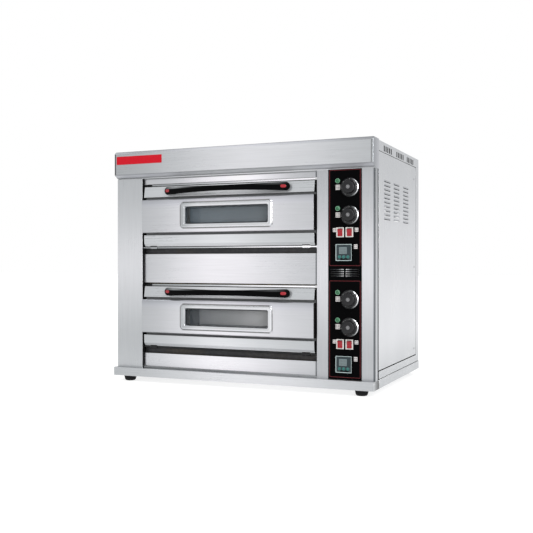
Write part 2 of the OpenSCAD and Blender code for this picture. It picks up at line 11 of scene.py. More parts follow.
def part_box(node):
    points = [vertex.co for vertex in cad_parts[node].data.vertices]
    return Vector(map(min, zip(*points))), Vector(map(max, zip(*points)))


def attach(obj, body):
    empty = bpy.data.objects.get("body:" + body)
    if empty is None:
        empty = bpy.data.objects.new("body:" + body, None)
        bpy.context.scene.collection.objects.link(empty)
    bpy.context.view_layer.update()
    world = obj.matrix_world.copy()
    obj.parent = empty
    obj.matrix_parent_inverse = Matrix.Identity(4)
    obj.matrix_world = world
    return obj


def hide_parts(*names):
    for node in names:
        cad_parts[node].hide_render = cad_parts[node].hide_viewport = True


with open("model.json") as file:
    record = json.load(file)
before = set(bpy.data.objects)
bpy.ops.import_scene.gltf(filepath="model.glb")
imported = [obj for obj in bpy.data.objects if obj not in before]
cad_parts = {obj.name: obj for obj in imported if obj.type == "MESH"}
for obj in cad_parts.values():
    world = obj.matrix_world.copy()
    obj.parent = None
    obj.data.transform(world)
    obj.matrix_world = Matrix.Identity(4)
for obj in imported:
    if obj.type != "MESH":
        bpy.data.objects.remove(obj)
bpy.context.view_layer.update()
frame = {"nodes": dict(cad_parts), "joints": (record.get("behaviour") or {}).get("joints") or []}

MM = 0.001
NODES = frame["nodes"]
ROOT = "oven_body"
FRONT = Vector((0, -1, 0))
UP = Vector((0, 0, 1))
DECKS = ("upper", "lower")


def low(node):
    """Lowest corner of a CAD node."""
    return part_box(node)[0]


def high(node):
    """Highest corner of a CAD node."""
    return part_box(node)[1]


def centre(node):
    """Middle of a CAD node's box."""
    return (low(node) + high(node)) / 2


def size(node):
    """Side lengths of a CAD node's box."""
    return high(node) - low(node)


def joint_place(name):
    """Rest position of a joint's axis."""
    return Vector(next(j["pos_m"] for j in frame["joints"] if j["name"] == name))


def add_object(name, data):
    """New object in the scene."""
    made = bpy.data.objects.new(name, data)
    bpy.context.scene.collection.objects.link(made)
    return made


# ---------------- camera, floor and light

def make_camera():
    """Camera at the height and angle of a product photograph, to the right of the doors."""
    data = bpy.data.cameras.new("camera")
    data.lens = 54.64
    data.sensor_width = 36
    camera = add_object("camera", data)
    camera.location = (1.5084, low("hood").y - 3.1267, 0.5387)
    camera.rotation_euler = (math.radians(89.75), 0, math.radians(23.5))
    bpy.context.scene.camera = camera


def make_floor():
    """Plain pale floor."""
    bm = bmesh.new()
    bmesh.ops.create_grid(bm, x_segments=8, y_segments=8, size=30)
    mesh = bpy.data.meshes.new("floor")
    bm.to_mesh(mesh)
    bm.free()
    floor = add_object("floor", mesh)
    shader = Shader("floor_white", **{"Roughness": 0.8, "Specular IOR Level": 0.1,
                                     "Emission Color": (1, 1, 1, 1), "Emission Strength": 0.74})
    speck = shader.noise(6, detail=2)
    mesh.materials.append(shader.finish(shader.mix(speck, (0.33, 0.33, 0.33), (0.36, 0.36, 0.36))))


def soft_box(name, azimuth, elevation, width, height, radiance):
    """Rectangular light seen from the oven at an angle to the right of the front and above the floor."""
    distance, target = 3.6, Vector((0, 0, 0.55))
    turn, rise = math.radians(azimuth), math.radians(elevation)
    aim = -Vector((math.sin(turn) * math.cos(rise), -math.cos(turn) * math.cos(rise), math.sin(rise)))
    data = bpy.data.lights.new(name, "AREA")
    data.shape = "RECTANGLE"
    data.size = width
    data.size_y = height
    data.energy = radiance * math.pi * width * height
    light = add_object(name, data)
    light.location = target - distance * aim
    light.rotation_euler = aim.to_track_quat("-Z", "Y").to_euler()


def make_world():
    """White studio surround, a little brighter overhead."""
    world = bpy.data.worlds.new("studio")
    world.use_nodes = True
    bpy.context.scene.world = world
    tree = world.node_tree
    tree.nodes.clear()
    output = tree.nodes.new("ShaderNodeOutputWorld")
    background = tree.nodes.new("ShaderNodeBackground")
    coords = tree.nodes.new("ShaderNodeTexCoord")
    split = tree.nodes.new("ShaderNodeSeparateXYZ")
    ramp = tree.nodes.new("ShaderNodeValToRGB")
    ramp.color_ramp.elements[0].position = 0.30
    ramp.color_ramp.elements[0].color = (0.77, 0.77, 0.775, 1)
    ramp.color_ramp.elements[1].position = 0.95
    ramp.color_ramp.elements[1].color = (1, 1, 1, 1)
    background.inputs["Strength"].default_value = 1.3
    plain = tree.nodes.new("ShaderNodeBackground")
    plain.inputs["Color"].default_value = (1, 1, 1, 1)
    rays = tree.nodes.new("ShaderNodeLightPath")
    chooser = tree.nodes.new("ShaderNodeMixShader")
    link = tree.links.new
    link(coords.outputs["Generated"], split.inputs[0])
    link(split.outputs["Z"], ramp.inputs["Fac"])
    link(ramp.outputs["Color"], background.inputs["Color"])
    link(rays.outputs["Is Camera Ray"], chooser.inputs["Fac"])
    link(background.outputs[0], chooser.inputs[1])
    link(plain.outputs[0], chooser.inputs[2])
    link(chooser.outputs[0], output.inputs["Surface"])


def make_lights():
    """Soft boxes: a high key at the left, a fill at the right front and a small one above it."""
    bpy.context.scene.view_settings.view_transform = "Standard"
    soft_box("key", -88, 45, 1.3, 1.0, 2.5)
    soft_box("fill", 50, 12, 0.6, 1.6, 14)
    soft_box("spark", 36, 42, 0.4, 0.8, 25)


# ---------------- materials

class Shader:
    """A node material around one Principled shader."""

    def __init__(self, name, **sockets):
        self.material = bpy.data.materials.new(name)
        self.material.use_nodes = True
        self.tree = self.material.node_tree
        self.bsdf = self.tree.nodes["Principled BSDF"]
        for key, value in sockets.items():
            self.bsdf.inputs[key].default_value = value
        self.coords = self.add("ShaderNodeTexCoord").outputs["Object"]

    def add(self, kind, inputs=None, **settings):
        """New node with its settings, and its inputs set or linked."""
        made = self.tree.nodes.new(kind)
        for key, value in settings.items():
            setattr(made, key, value)
        for key, value in (inputs or {}).items():
            self.feed(made.inputs[key], value)
        return made

    def feed(self, socket, value):
        """Sets a socket to a value or links another socket to it."""
        if isinstance(value, bpy.types.NodeSocket):
            self.tree.links.new(value, socket)
        elif isinstance(value, tuple) and len(value) == 3 and socket.type == "RGBA":
            socket.default_value = (*value, 1)
        else:
            socket.default_value = value

    def stretched(self, stretch):
        """Object coordinates scaled along each axis."""
        return self.add("ShaderNodeMapping", {"Vector": self.coords, "Scale": stretch}).outputs[0]

    def noise(self, scale, detail=4, stretch=(1, 1, 1), rough=0.55):
        """Smooth noise from 0 to 1."""
        made = self.add("ShaderNodeTexNoise", {"Vector": self.stretched(stretch), "Scale": scale,
                                               "Detail": detail, "Roughness": rough})
        return made.outputs["Fac"]

    def range(self, value, from_low, from_high, to_low, to_high, kind="SMOOTHSTEP"):
        """A value moved from one range to another, held at the ends."""
        made = self.add("ShaderNodeMapRange", {"Value": value, "From Min": from_low,
                        "From Max": from_high, "To Min": to_low, "To Max": to_high})
        made.interpolation_type = kind
        return made.outputs["Result"]

    def tones(self, band):
        """Colours of evenly spaced brightness levels, blended along one axis. A band is the axis, its
        start and end, and the levels."""
        axis, start, end, levels = band
        along = self.range(self.axis(axis), start, end, 0, 1, "LINEAR")
        ramp = self.add("ShaderNodeValToRGB", {"Fac": along})
        ramp.color_ramp.interpolation = "CARDINAL" if len(levels) > 2 else "LINEAR"
        stops = ramp.color_ramp.elements
        while len(stops) < len(levels):
            stops.new(0.5)
        for i, level in enumerate(levels):
            stops[i].position = i / (len(levels) - 1)
            stops[i].color = (*tone(level), 1)
        return ramp.outputs["Color"]

    def mix(self, factor, first, second, blend="MIX"):
        """Mix of two colours."""
        made = self.add("ShaderNodeMix", data_type="RGBA", blend_type=blend)
        self.feed(made.inputs[0], factor)
        self.feed(made.inputs[6], first)
        self.feed(made.inputs[7], second)
        return made.outputs[2]

    def math(self, operation, first, second=0.0):
        """Arithmetic on two values."""
        made = self.add("ShaderNodeMath", operation=operation)
        self.feed(made.inputs[0], first)
        self.feed(made.inputs[1], second)
        return made.outputs[0]

    def edges(self, radius):
        """Mask that is 1 on edges and corners sharper than the radius."""
        rounded = self.add("ShaderNodeBevel", {"Radius": radius}, samples=4).outputs[0]
        flat = self.add("ShaderNodeNewGeometry").outputs["Normal"]
        dot = self.add("ShaderNodeVectorMath", operation="DOT_PRODUCT")
        self.feed(dot.inputs[0], rounded)
        self.feed(dot.inputs[1], flat)
        return self.range(dot.outputs["Value"], 0.995, 0.90, 0.0, 1.0)

    def dim(self, color, level):
        """A colour times a grey level."""
        return self.mix(1.0, color, (level, level, level), "MULTIPLY")

    def finish(self, color, rough=None, relief=None):
        """Sets colour, roughness and relief, given as height, strength and distance; gives the material."""
        self.feed(self.bsdf.inputs["Base Color"], color)
        if rough is not None:
            self.feed(self.bsdf.inputs["Roughness"], rough)
        if relief:
            made = self.add("ShaderNodeBump", dict(zip(("Height", "Strength", "Distance"), relief)))
            self.feed(self.bsdf.inputs["Normal"], made.outputs[0])
        return self.material

    def axis(self, name):
        """One object coordinate."""
        return self.add("ShaderNodeSeparateXYZ", {"Vector": self.coords}).outputs[name]


def tone(level):
    """Steel colour of one brightness: cool when darker, faintly violet when brighter."""
    blend = min(1, max(0, (level - 0.45) / 0.4))
    cool, warm = (0.965, 1.0, 1.03), (1.0, 0.992, 1.025)
    return tuple(min(1, level * (a + (b - a) * blend)) for a, b in zip(cool, warm))


def brushed_steel(name, band, grain, tangent, second=None, rough=0.30, metal=1.0):
    """Brushed stainless sheet. The bands are painted reflection and shade along the sheet, the second one
    darkening the first; grain is the coordinate scale of its scratches."""
    shader = Shader(name, Metallic=metal, Anisotropic=0.4)
    scratches = shader.noise(260, detail=5, stretch=grain, rough=0.7)
    smudges = shader.noise(3.2, detail=5)
    wide = shader.noise(18, detail=2, stretch=tuple(0.02 + 0.2 * g for g in grain))
    worn = shader.edges(0.0015)
    color = shader.tones(band)
    if second:
        color = shader.mix(1.0, color, shader.tones(second), "MULTIPLY")
    dimmed = shader.dim(color, 0.93)
    color = shader.mix(shader.range(scratches, 0.3, 0.7, 0, 1), dimmed, color)
    dimmed = shader.dim(color, 0.94)
    color = shader.mix(shader.math("MULTIPLY", wide, 0.5), color, dimmed)
    color = shader.mix(shader.math("MULTIPLY", worn, 0.35), color, (0.93, 0.93, 0.93))
    base = shader.range(scratches, 0.25, 0.75, rough - 0.05, rough + 0.07)
    direction = shader.add("ShaderNodeTangent", direction_type="RADIAL", axis=tangent)
    shader.feed(shader.bsdf.inputs["Tangent"], direction.outputs[0])
    rough = shader.math("ADD", base, shader.range(smudges, 0.35, 0.7, -0.02, 0.07))
    return shader.finish(color, rough, (scratches, 0.10, 0.0002))


def polished_steel(name, tint=(0.80, 0.80, 0.81), rough=0.13, band=None):
    """Polished steel with fine wipe marks, evenly tinted or in bands of painted reflection and shade."""
    shader = Shader(name, Metallic=1.0)
    wipes = shader.noise(40, detail=6, stretch=(1, 3, 6))
    color = shader.tones(band) if band else tint
    dimmed = shader.dim(color, 0.92)
    color = shader.mix(wipes, dimmed, color)
    rough = shader.range(wipes, 0.3, 0.75, rough - 0.03, rough + 0.09)
    return shader.finish(color, rough, (wipes, 0.05, 0.0002))


def heat_stain_and_shade(name, tint, rough=0.5):
    """Dark steel with blue and straw heat tints; in its darkest tints it stands for painted shade."""
    shader = Shader(name, Metallic=0.75)
    clouds = shader.noise(5, detail=6)
    fine = shader.noise(90, detail=4)
    straw = tuple(c * k for c, k in zip(tint, (1.5, 1.25, 0.9)))
    color = shader.mix(shader.range(clouds, 0.45, 0.72, 0, 0.6), tint, straw)
    color = shader.mix(shader.math("MULTIPLY", fine, 0.35), color, tuple(0.55 * c for c in tint))
    rough = shader.range(fine, 0.3, 0.7, rough - 0.1, rough + 0.15)
    return shader.finish(color, rough, (fine, 0.1, 0.0004))


def moulded(name, tint, rough=0.42, grain=1400, relief=0.12, coat=0.0, shine=0.5, wear=0.01):
    """Moulded plastic with a fine skin texture and paler rubbed edges."""
    shader = Shader(name, **{"Coat Weight": coat, "Coat Roughness": 0.12, "Specular IOR Level": shine})
    skin = shader.noise(grain, detail=2)
    cloud = shader.noise(25, detail=3)
    worn = shader.edges(0.0008)
    lighter = tuple(min(1, c * 1.3 + 0.3 * wear) for c in tint)
    color = shader.mix(shader.math("MULTIPLY", cloud, 0.5), tint, lighter)
    rubbed = tuple(min(1, c * 1.6 + wear) for c in tint)
    color = shader.mix(shader.math("MULTIPLY", worn, 0.5), color, rubbed)
    rough = shader.range(cloud, 0.3, 0.7, rough - 0.06, rough + 0.08)
    return shader.finish(color, rough, (skin, relief, 0.0002))


def lacquer(name, tint, rough=0.28, coat=0.25, shine=0.4):
    """Smooth lacquered sheet with a slight orange peel and faint dust; in the door grooves its flat dark
    grey is painted shade.
    """
    shader = Shader(name, **{"Coat Weight": coat, "Coat Roughness": 0.08, "Specular IOR Level": shine})
    peel = shader.noise(420, detail=2)
    dust = shader.noise(60, detail=6)
    color = shader.mix(shader.range(dust, 0.55, 0.8, 0, 0.25), tint, tuple(min(1, c * 1.5) for c in tint))
    rough = shader.range(dust, 0.35, 0.7, rough - 0.05, rough + 0.10)
    return shader.finish(color, rough, (peel, 0.04, 0.0003))


def handle_plastic(name, node):
    """Black handle plastic, with a painted grey highlight on the upper side near its left end."""
    shader = Shader(name, **{"Roughness": 0.3, "Specular IOR Level": 0.03})
    skin = shader.noise(1400, detail=2)
    cloud = shader.noise(25, detail=3)
    # painted highlight: grey on the upper side near the left end, fading towards the right
    painted_highlight = shader.tones(("X", low(node).x, high(node).x,
                          (0.03, 0.20, 0.12, 0.03, 0.01, 0.0, 0.0, 0.0, 0.0, 0.02, 0.04, 0.0)))
    highlight_mask = shader.range(shader.axis("Z"), centre(node).z + 5 * MM, centre(node).z + 10 * MM, 0, 1)
    color = shader.mix(highlight_mask, (0.0012, 0.0012, 0.0014), painted_highlight)
    rough = shader.range(cloud, 0.3, 0.7, 0.24, 0.38)
    return shader.finish(color, rough, (skin, 0.03, 0.0002))


def glint_lips(name, band):
    """Lips of pressed slots, pale as a painted glint, brightest where the band says."""
    shader = Shader(name, **{"Roughness": 0.5, "Specular IOR Level": 0.3})
    grain = shader.noise(300, detail=3)
    color = shader.tones(band)
    dimmed = shader.dim(color, 0.85)
    return shader.finish(shader.mix(grain, color, dimmed), relief=(grain, 0.05, 0.0002))


def rubber(name):
    """Black moulded rubber, dusty near the floor."""
    shader = Shader(name, **{"Roughness": 0.8, "Specular IOR Level": 0.12})
    grain = shader.noise(700, detail=3)
    dusty = shader.range(shader.axis("Z"), 0.0, 0.010, 0.15, 0.0)
    color = shader.mix(dusty, (0.008, 0.008, 0.009), (0.06, 0.057, 0.054))
    rough = shader.range(grain, 0.3, 0.7, 0.68, 0.88)
    return shader.finish(color, rough, (grain, 0.25, 0.0003))


def oven_glass(name, alpha, first, last, start, end):
    """Tinted tempered glass with faint baked haze, from one tint at its left to another at its right; that
    change across the pane is painted shade and reflection.
    """
    shader = Shader(name, **{"Alpha": alpha, "Specular IOR Level": 0.5, "IOR": 1.5})
    haze = shader.noise(9, detail=6)
    fine = shader.noise(160, detail=3)
    across = shader.range(shader.axis("X"), start, end, 0, 1, "LINEAR")
    color = shader.mix(across, first, last)
    dimmed = shader.dim(color, 0.88)
    shader.material.surface_render_method = "BLENDED"
    color = shader.mix(shader.range(haze, 0.35, 0.7, 0, 1), dimmed, color)
    rough = shader.range(fine, 0.3, 0.8, 0.03, 0.14)
    return shader.finish(color, rough)


def hearth_stone(name):
    """Baking hearth: pale stone with flour dust and scorch clouds."""
    shader = Shader(name, Roughness=0.85)
    clouds = shader.noise(4, detail=6)
    grit = shader.noise(260, detail=4)
    color = shader.mix(shader.range(clouds, 0.4, 0.7, 0, 1), (0.42, 0.38, 0.32), (0.20, 0.16, 0.12))
    color = shader.mix(shader.math("MULTIPLY", grit, 0.4), color, (0.55, 0.52, 0.46))
    rough = shader.range(grit, 0.3, 0.7, 0.75, 0.95)
    return shader.finish(color, rough, (grit, 0.3, 0.0006))


def mineral_wool(name):
    """Yellow fibrous insulation."""
    shader = Shader(name, **{"Roughness": 0.95, "Sheen Weight": 0.3})
    fibre = shader.noise(80, detail=8, stretch=(1, 1, 7), rough=0.7)
    color = shader.mix(fibre, (0.55, 0.44, 0.20), (0.80, 0.72, 0.46))
    return shader.finish(color, relief=(fibre, 0.8, 0.004))


def print_ink(name, tint, rough=0.5):
    """Screen-printed ink with slightly uneven cover."""
    shader = Shader(name, **{"Specular IOR Level": 0.4})
    cover = shader.noise(500, detail=3)
    color = shader.mix(shader.range(cover, 0.3, 0.7, 0, 1), tint, tuple(min(1, 0.82 * c) for c in tint))
    rough = shader.range(cover, 0.3, 0.7, rough - 0.08, rough + 0.1)
    return shader.finish(color, rough, (cover, 0.1, 0.0001))


# ---------------- mesh helpers

def facing(place, outward=FRONT):
    """Matrix that puts local +Z along outward and local +Y upright, at a place."""
    outward = outward.normalized()
    side = UP.cross(outward).normalized()
    turn = Matrix((side, outward.cross(side), outward)).transposed()
    return Matrix.Translation(place) @ turn.to_4x4()


def seat(node, y=None, outward=FRONT):
    """Matrix at the middle of a CAD node, at its back or at depth y."""
    spot = centre(node)
    return facing((spot.x, high(node).y if y is None else y, spot.z), outward)


def loft(bm, rings, place=Matrix.Identity(4), cyclic=False, cap=True):
    """Joins rings of equally many points; closes the ends with caps, or end to start."""
    rows = [[bm.verts.new(place @ Vector(p)) for p in ring] for ring in rings]
    count = len(rows[0])
    pairs = list(zip(rows, rows[1:]))
    if cyclic:
        pairs.append((rows[-1], rows[0]))
    for first, second in pairs:
        for i in range(count):
            j = (i + 1) % count
            bm.faces.new((first[i], first[j], second[j], second[i]))
    if cap and not cyclic:
        bm.faces.new(list(reversed(rows[0])))
        bm.faces.new(rows[-1])


def rounded_ring(width, height, radius, depth, corner_steps=6):
    """Points of a rectangle with round corners, at one depth."""
    radius = min(radius, width / 2 - 1e-6, height / 2 - 1e-6)
    points = []
    for quarter in range(4):
        start = quarter * math.pi / 2
        cx = (width / 2 - radius) * (1 if quarter in (0, 3) else -1)
        cy = (height / 2 - radius) * (1 if quarter in (0, 1) else -1)
        for step in range(corner_steps + 1):
            angle = start + step * math.pi / 2 / corner_steps
            points.append((cx + radius * math.cos(angle), cy + radius * math.sin(angle), depth))
    return points


def rect_loft(bm, steps, place, cyclic=False):
    """Loft through round-cornered rectangles given as (width, height, radius, depth) in millimetres."""
    rings = [rounded_ring(w * MM, h * MM, r * MM, d * MM) for w, h, r, d in steps]
    loft(bm, rings, place, cyclic=cyclic)


def polar_ring(reach, depth, segments=48):
    """Ring of points in millimetres, as far out as reach(angle) says."""
    angles = [2 * math.pi * i / segments for i in range(segments)]
    return [(reach(a) * MM * math.cos(a), reach(a) * MM * math.sin(a), depth * MM) for a in angles]


def circles(steps, segments=48):
    """Circular rings through (radius, depth) steps. A third number in a step cuts ribs that deep, and
    a fourth gives how many."""
    rings = []
    for radius, depth, rib, count in (step if len(step) > 2 else (*step, 0, 1) for step in steps):
        rings.append(polar_ring(lambda a: radius - rib * (0.5 + 0.5 * math.cos(count * a)) ** 2,
                                depth, segments))
    return rings


def lathe(bm, profile, place, segments=48, cyclic=False):
    """Turns a profile of circles() steps about local Z."""
    loft(bm, circles(profile, segments), place, cyclic=cyclic)


def make_piece(name, bm, body, material, replaces=(), smooth=32):
    """Object from a bmesh, riding on a body and standing for the named CAD nodes."""
    bmesh.ops.recalc_face_normals(bm, faces=bm.faces)
    mesh = bpy.data.meshes.new(name)
    bm.to_mesh(mesh)
    bm.free()
    for key in [material] if isinstance(material, str) else material:
        mesh.materials.append(MATERIALS[key])
    mesh.shade_smooth()
    mesh.set_sharp_from_angle(angle=math.radians(smooth))
    piece = add_object(name, mesh)
    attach(piece, body)
    for node in replaces:
        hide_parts(node)
    return piece


def rect_piece(name, steps, place, body, material, replaces=(), cyclic=False):
    """Piece that is one rectangular loft."""
    bm = bmesh.new()
    rect_loft(bm, steps, place, cyclic=cyclic)
    return make_piece(name, bm, body, material, replaces)


def breadth(face):
    """Rough width of a face: its area over half its outline."""
    return 2 * face.calc_area() / max(face.calc_perimeter(), 1e-9)


def softened(name, node, body, material, fold=1.4, burr=0.25, pick=None, smooth=40):
    """The CAD node's own shape with folded edges rounded and cut edges eased. pick(face) gives the
    number of the material that a face takes."""
    bm = bmesh.new()
    bm.from_mesh(NODES[node].data)
    bmesh.ops.remove_doubles(bm, verts=bm.verts, dist=1e-6)
    bmesh.ops.dissolve_limit(bm, angle_limit=math.radians(0.4), verts=bm.verts, edges=bm.edges)
    bm.normal_update()

    def sharp_edges(wide):
        found = []
        for edge in bm.edges:
            if len(edge.link_faces) != 2 or edge.calc_face_angle(0) < math.radians(28):
                continue
            broad = min(breadth(face) for face in edge.link_faces) > 5 * MM
            if broad == wide:
                found.append(edge)
        return found

    for wide, width, steps in ((True, fold, 3), (False, burr, 1)):
        edges = sharp_edges(wide) if wide else [e for e in sharp_edges(False) if e.calc_length() > 2 * MM]
        if edges and width:
            bmesh.ops.bevel(bm, geom=edges, offset=width * MM, segments=steps, profile=0.5,
                            affect="EDGES", clamp_overlap=True)
    bmesh.ops.dissolve_degenerate(bm, dist=1e-6, edges=bm.edges)
    bm.normal_update()
    if pick:
        for face in bm.faces:
            face.material_index = int(pick(face))
    broad = [i for i, face in enumerate(bm.faces) if breadth(face) > 4 * MM]
    piece = make_piece(name, bm, body, material, [node], smooth)
    for i in broad:
        piece.data.polygons[i].use_smooth = False
    return piece


def finish_node(node, material):
    """Gives a CAD node its finish and leaves its shape alone."""
    mesh = NODES[node].data
    mesh.materials.clear()
    mesh.materials.append(MATERIALS[material])


# ---------------- the finishes

make_camera()
make_floor()
make_world()
make_lights()

RECESS = (low("middle_panel").x, high("middle_panel").x)
FRONT_Y = low("hood").y
HALF_WIDTH = high("hood").x
ALONG_X = (0.02, 1, 1)
ALONG_Z = (1, 1, 0.02)
COLUMN_SPAN = ("Z", low("left_column").z, high("left_column").z)
SIDE_SPAN = ("Z", low("side_frames").z, high("top_cover").z)
ACROSS = ("X", *RECESS)
WHOLE = ("X", -HALF_WIDTH, HALF_WIDTH)
SIDEWAYS = (ALONG_X, "X")
UPRIGHT = (ALONG_Z, "Z")
# tone levels of the doors, strips and sides: painted reflection and shade, brightest near the middle
DOOR_TONES = {"upper": (0.49, 0.59, 0.74, 0.80, 0.74, 0.63, 0.55),
              "lower": (0.46, 0.56, 0.71, 0.79, 0.74, 0.63, 0.55)}
STRIP_TONES = {"upper": (0.48, 0.53, 0.60, 0.63, 0.56, 0.48, 0.44),
               "lower": (0.45, 0.50, 0.60, 0.65, 0.58, 0.50, 0.45)}
SIDE_BAND = (*SIDE_SPAN, (0.50, 0.65, 0.68, 0.67, 0.66, 0.60, 0.54, 0.52))
# rails and upper hinge rod: painted reflection, dark at the left and bright at the right
RAIL_REFLECTION_BAND = (*ACROSS, (0.30, 0.40, 0.62, 0.9, 0.95))
# grille lips: painted glint, brightest in the middle of the grille
GRILLE_GLINT_BAND = ("X", low("vent_grille").x, high("vent_grille").x, (0.0, 0.04, 0.18, 1.0, 0.18, 0.04, 0.0))
# knob trim: painted highlight, dark at the left and bright at the right
TRIM_HIGHLIGHT_BAND = ("X", low("upper_top_knob").x, high("upper_top_knob").x, (0.03, 0.03, 0.04, 0.24, 0.72))
# window frame: painted shade, darker at its left end
FRAME_SHADE_BAND = ("X", low("upper_window_frame").x, high("upper_window_frame").x,
              (0.42, 0.62, 0.64, 0.64, 0.64, 0.64, 0.66))
# second bands of painted shade, which darken the first: folds, ends, undersides and shaded depths
RIGHT_FOLD_SHADE = ("X", HALF_WIDTH - 11 * MM, HALF_WIDTH - 3 * MM, (1, 0.9, 0.36, 0.26))
RETURN_DEPTH_SHADE = ("Y", low("right_column").y, low("right_column").y + 43 * MM,
                (0.35, 0.35, 0.5, 1, 1, 0.8, 0.45, 0.45, 0.45))
CHAMFER_EDGE_SHADE = ("Z", high("hood").z - 13 * MM, high("hood").z, (1, 0.9, 0.85, 0.35))
UNDER_ENDS_SHADE = (*WHOLE, (0.75, 0.9, 1, 1, 1, 0.95, 0.85))
SIDE_DEPTH_SHADE = ("Y", FRONT_Y, FRONT_Y + 82 * MM, (0.58, 0.70, 0.85))
LOUVRE_SHADE = (*SIDE_SPAN, (0.62, 0.62))
RECESS_END_SHADE = ("X", RECESS[1] - 14 * MM, RECESS[1] - 8 * MM, (1, 0.32))
# each sheet: tone band of painted reflection and shade, scratch scale and axis, second band, roughness, metal
SHEETS = {
    "left_column": ((*COLUMN_SPAN, (0.50, 0.47, 0.53, 0.62, 0.67, 0.60, 0.52, 0.48)), ALONG_Z, "X"),
    "right_column": ((*COLUMN_SPAN, (0.48, 0.49, 0.58, 0.67, 0.70, 0.63, 0.54, 0.47)), ALONG_Z, "X",
                     RIGHT_FOLD_SHADE),
    "column_return": ((*COLUMN_SPAN, (0.58, 0.58, 0.62, 0.64, 0.60, 0.48, 0.42)), *UPRIGHT, RETURN_DEPTH_SHADE),
    "hood": ((*WHOLE, (0.41, 0.48, 0.60, 0.70, 0.68, 0.60, 0.49)), *SIDEWAYS),
    "hood_under": (("Z", low("hood").z + 4 * MM, low("hood").z + 20 * MM, (0.30, 0.50, 0.52, 0.30)),
                   *SIDEWAYS, UNDER_ENDS_SHADE, 0.30, 0.4),
    "hood_chamfer": ((*WHOLE, (0.22, 0.34, 0.54, 0.63, 0.56, 0.47, 0.30)), *SIDEWAYS, CHAMFER_EDGE_SHADE),
    "hood_bevel": (("X", HALF_WIDTH - 10 * MM, HALF_WIDTH, (0.10, 0.30, 0.28)), *UPRIGHT),
    "hood_side": (SIDE_BAND, *UPRIGHT, SIDE_DEPTH_SHADE),
    "plinth": ((*WHOLE, (0.45, 0.51, 0.62, 0.70, 0.68, 0.58, 0.49)), *SIDEWAYS),
    "plinth_corner": (("Y", FRONT_Y, FRONT_Y + 80 * MM, (0.50, 0.30, 0.13, 0.05)), *UPRIGHT),
    "panel": ((*ACROSS, (0.545, 0.66, 0.80, 0.83, 0.76, 0.64, 0.55)), *SIDEWAYS, RECESS_END_SHADE),
    "header": ((*ACROSS, (0.545, 0.58, 0.80, 0.98, 0.94, 0.65, 0.49)), *SIDEWAYS, RECESS_END_SHADE),
    "sill": ((*ACROSS, (0.26, 0.24, 0.30, 0.34)), *SIDEWAYS),
    "side": (SIDE_BAND, *UPRIGHT),
    "top": (("Y", FRONT_Y, high("top_cover").y, (0.54, 0.60, 0.54)), *SIDEWAYS),
    "rear": ((*SIDE_SPAN, (0.56, 0.66, 0.64, 0.55)), *UPRIGHT, None, 0.38),
    "louvre": (SIDE_BAND, *UPRIGHT, LOUVRE_SHADE),
}
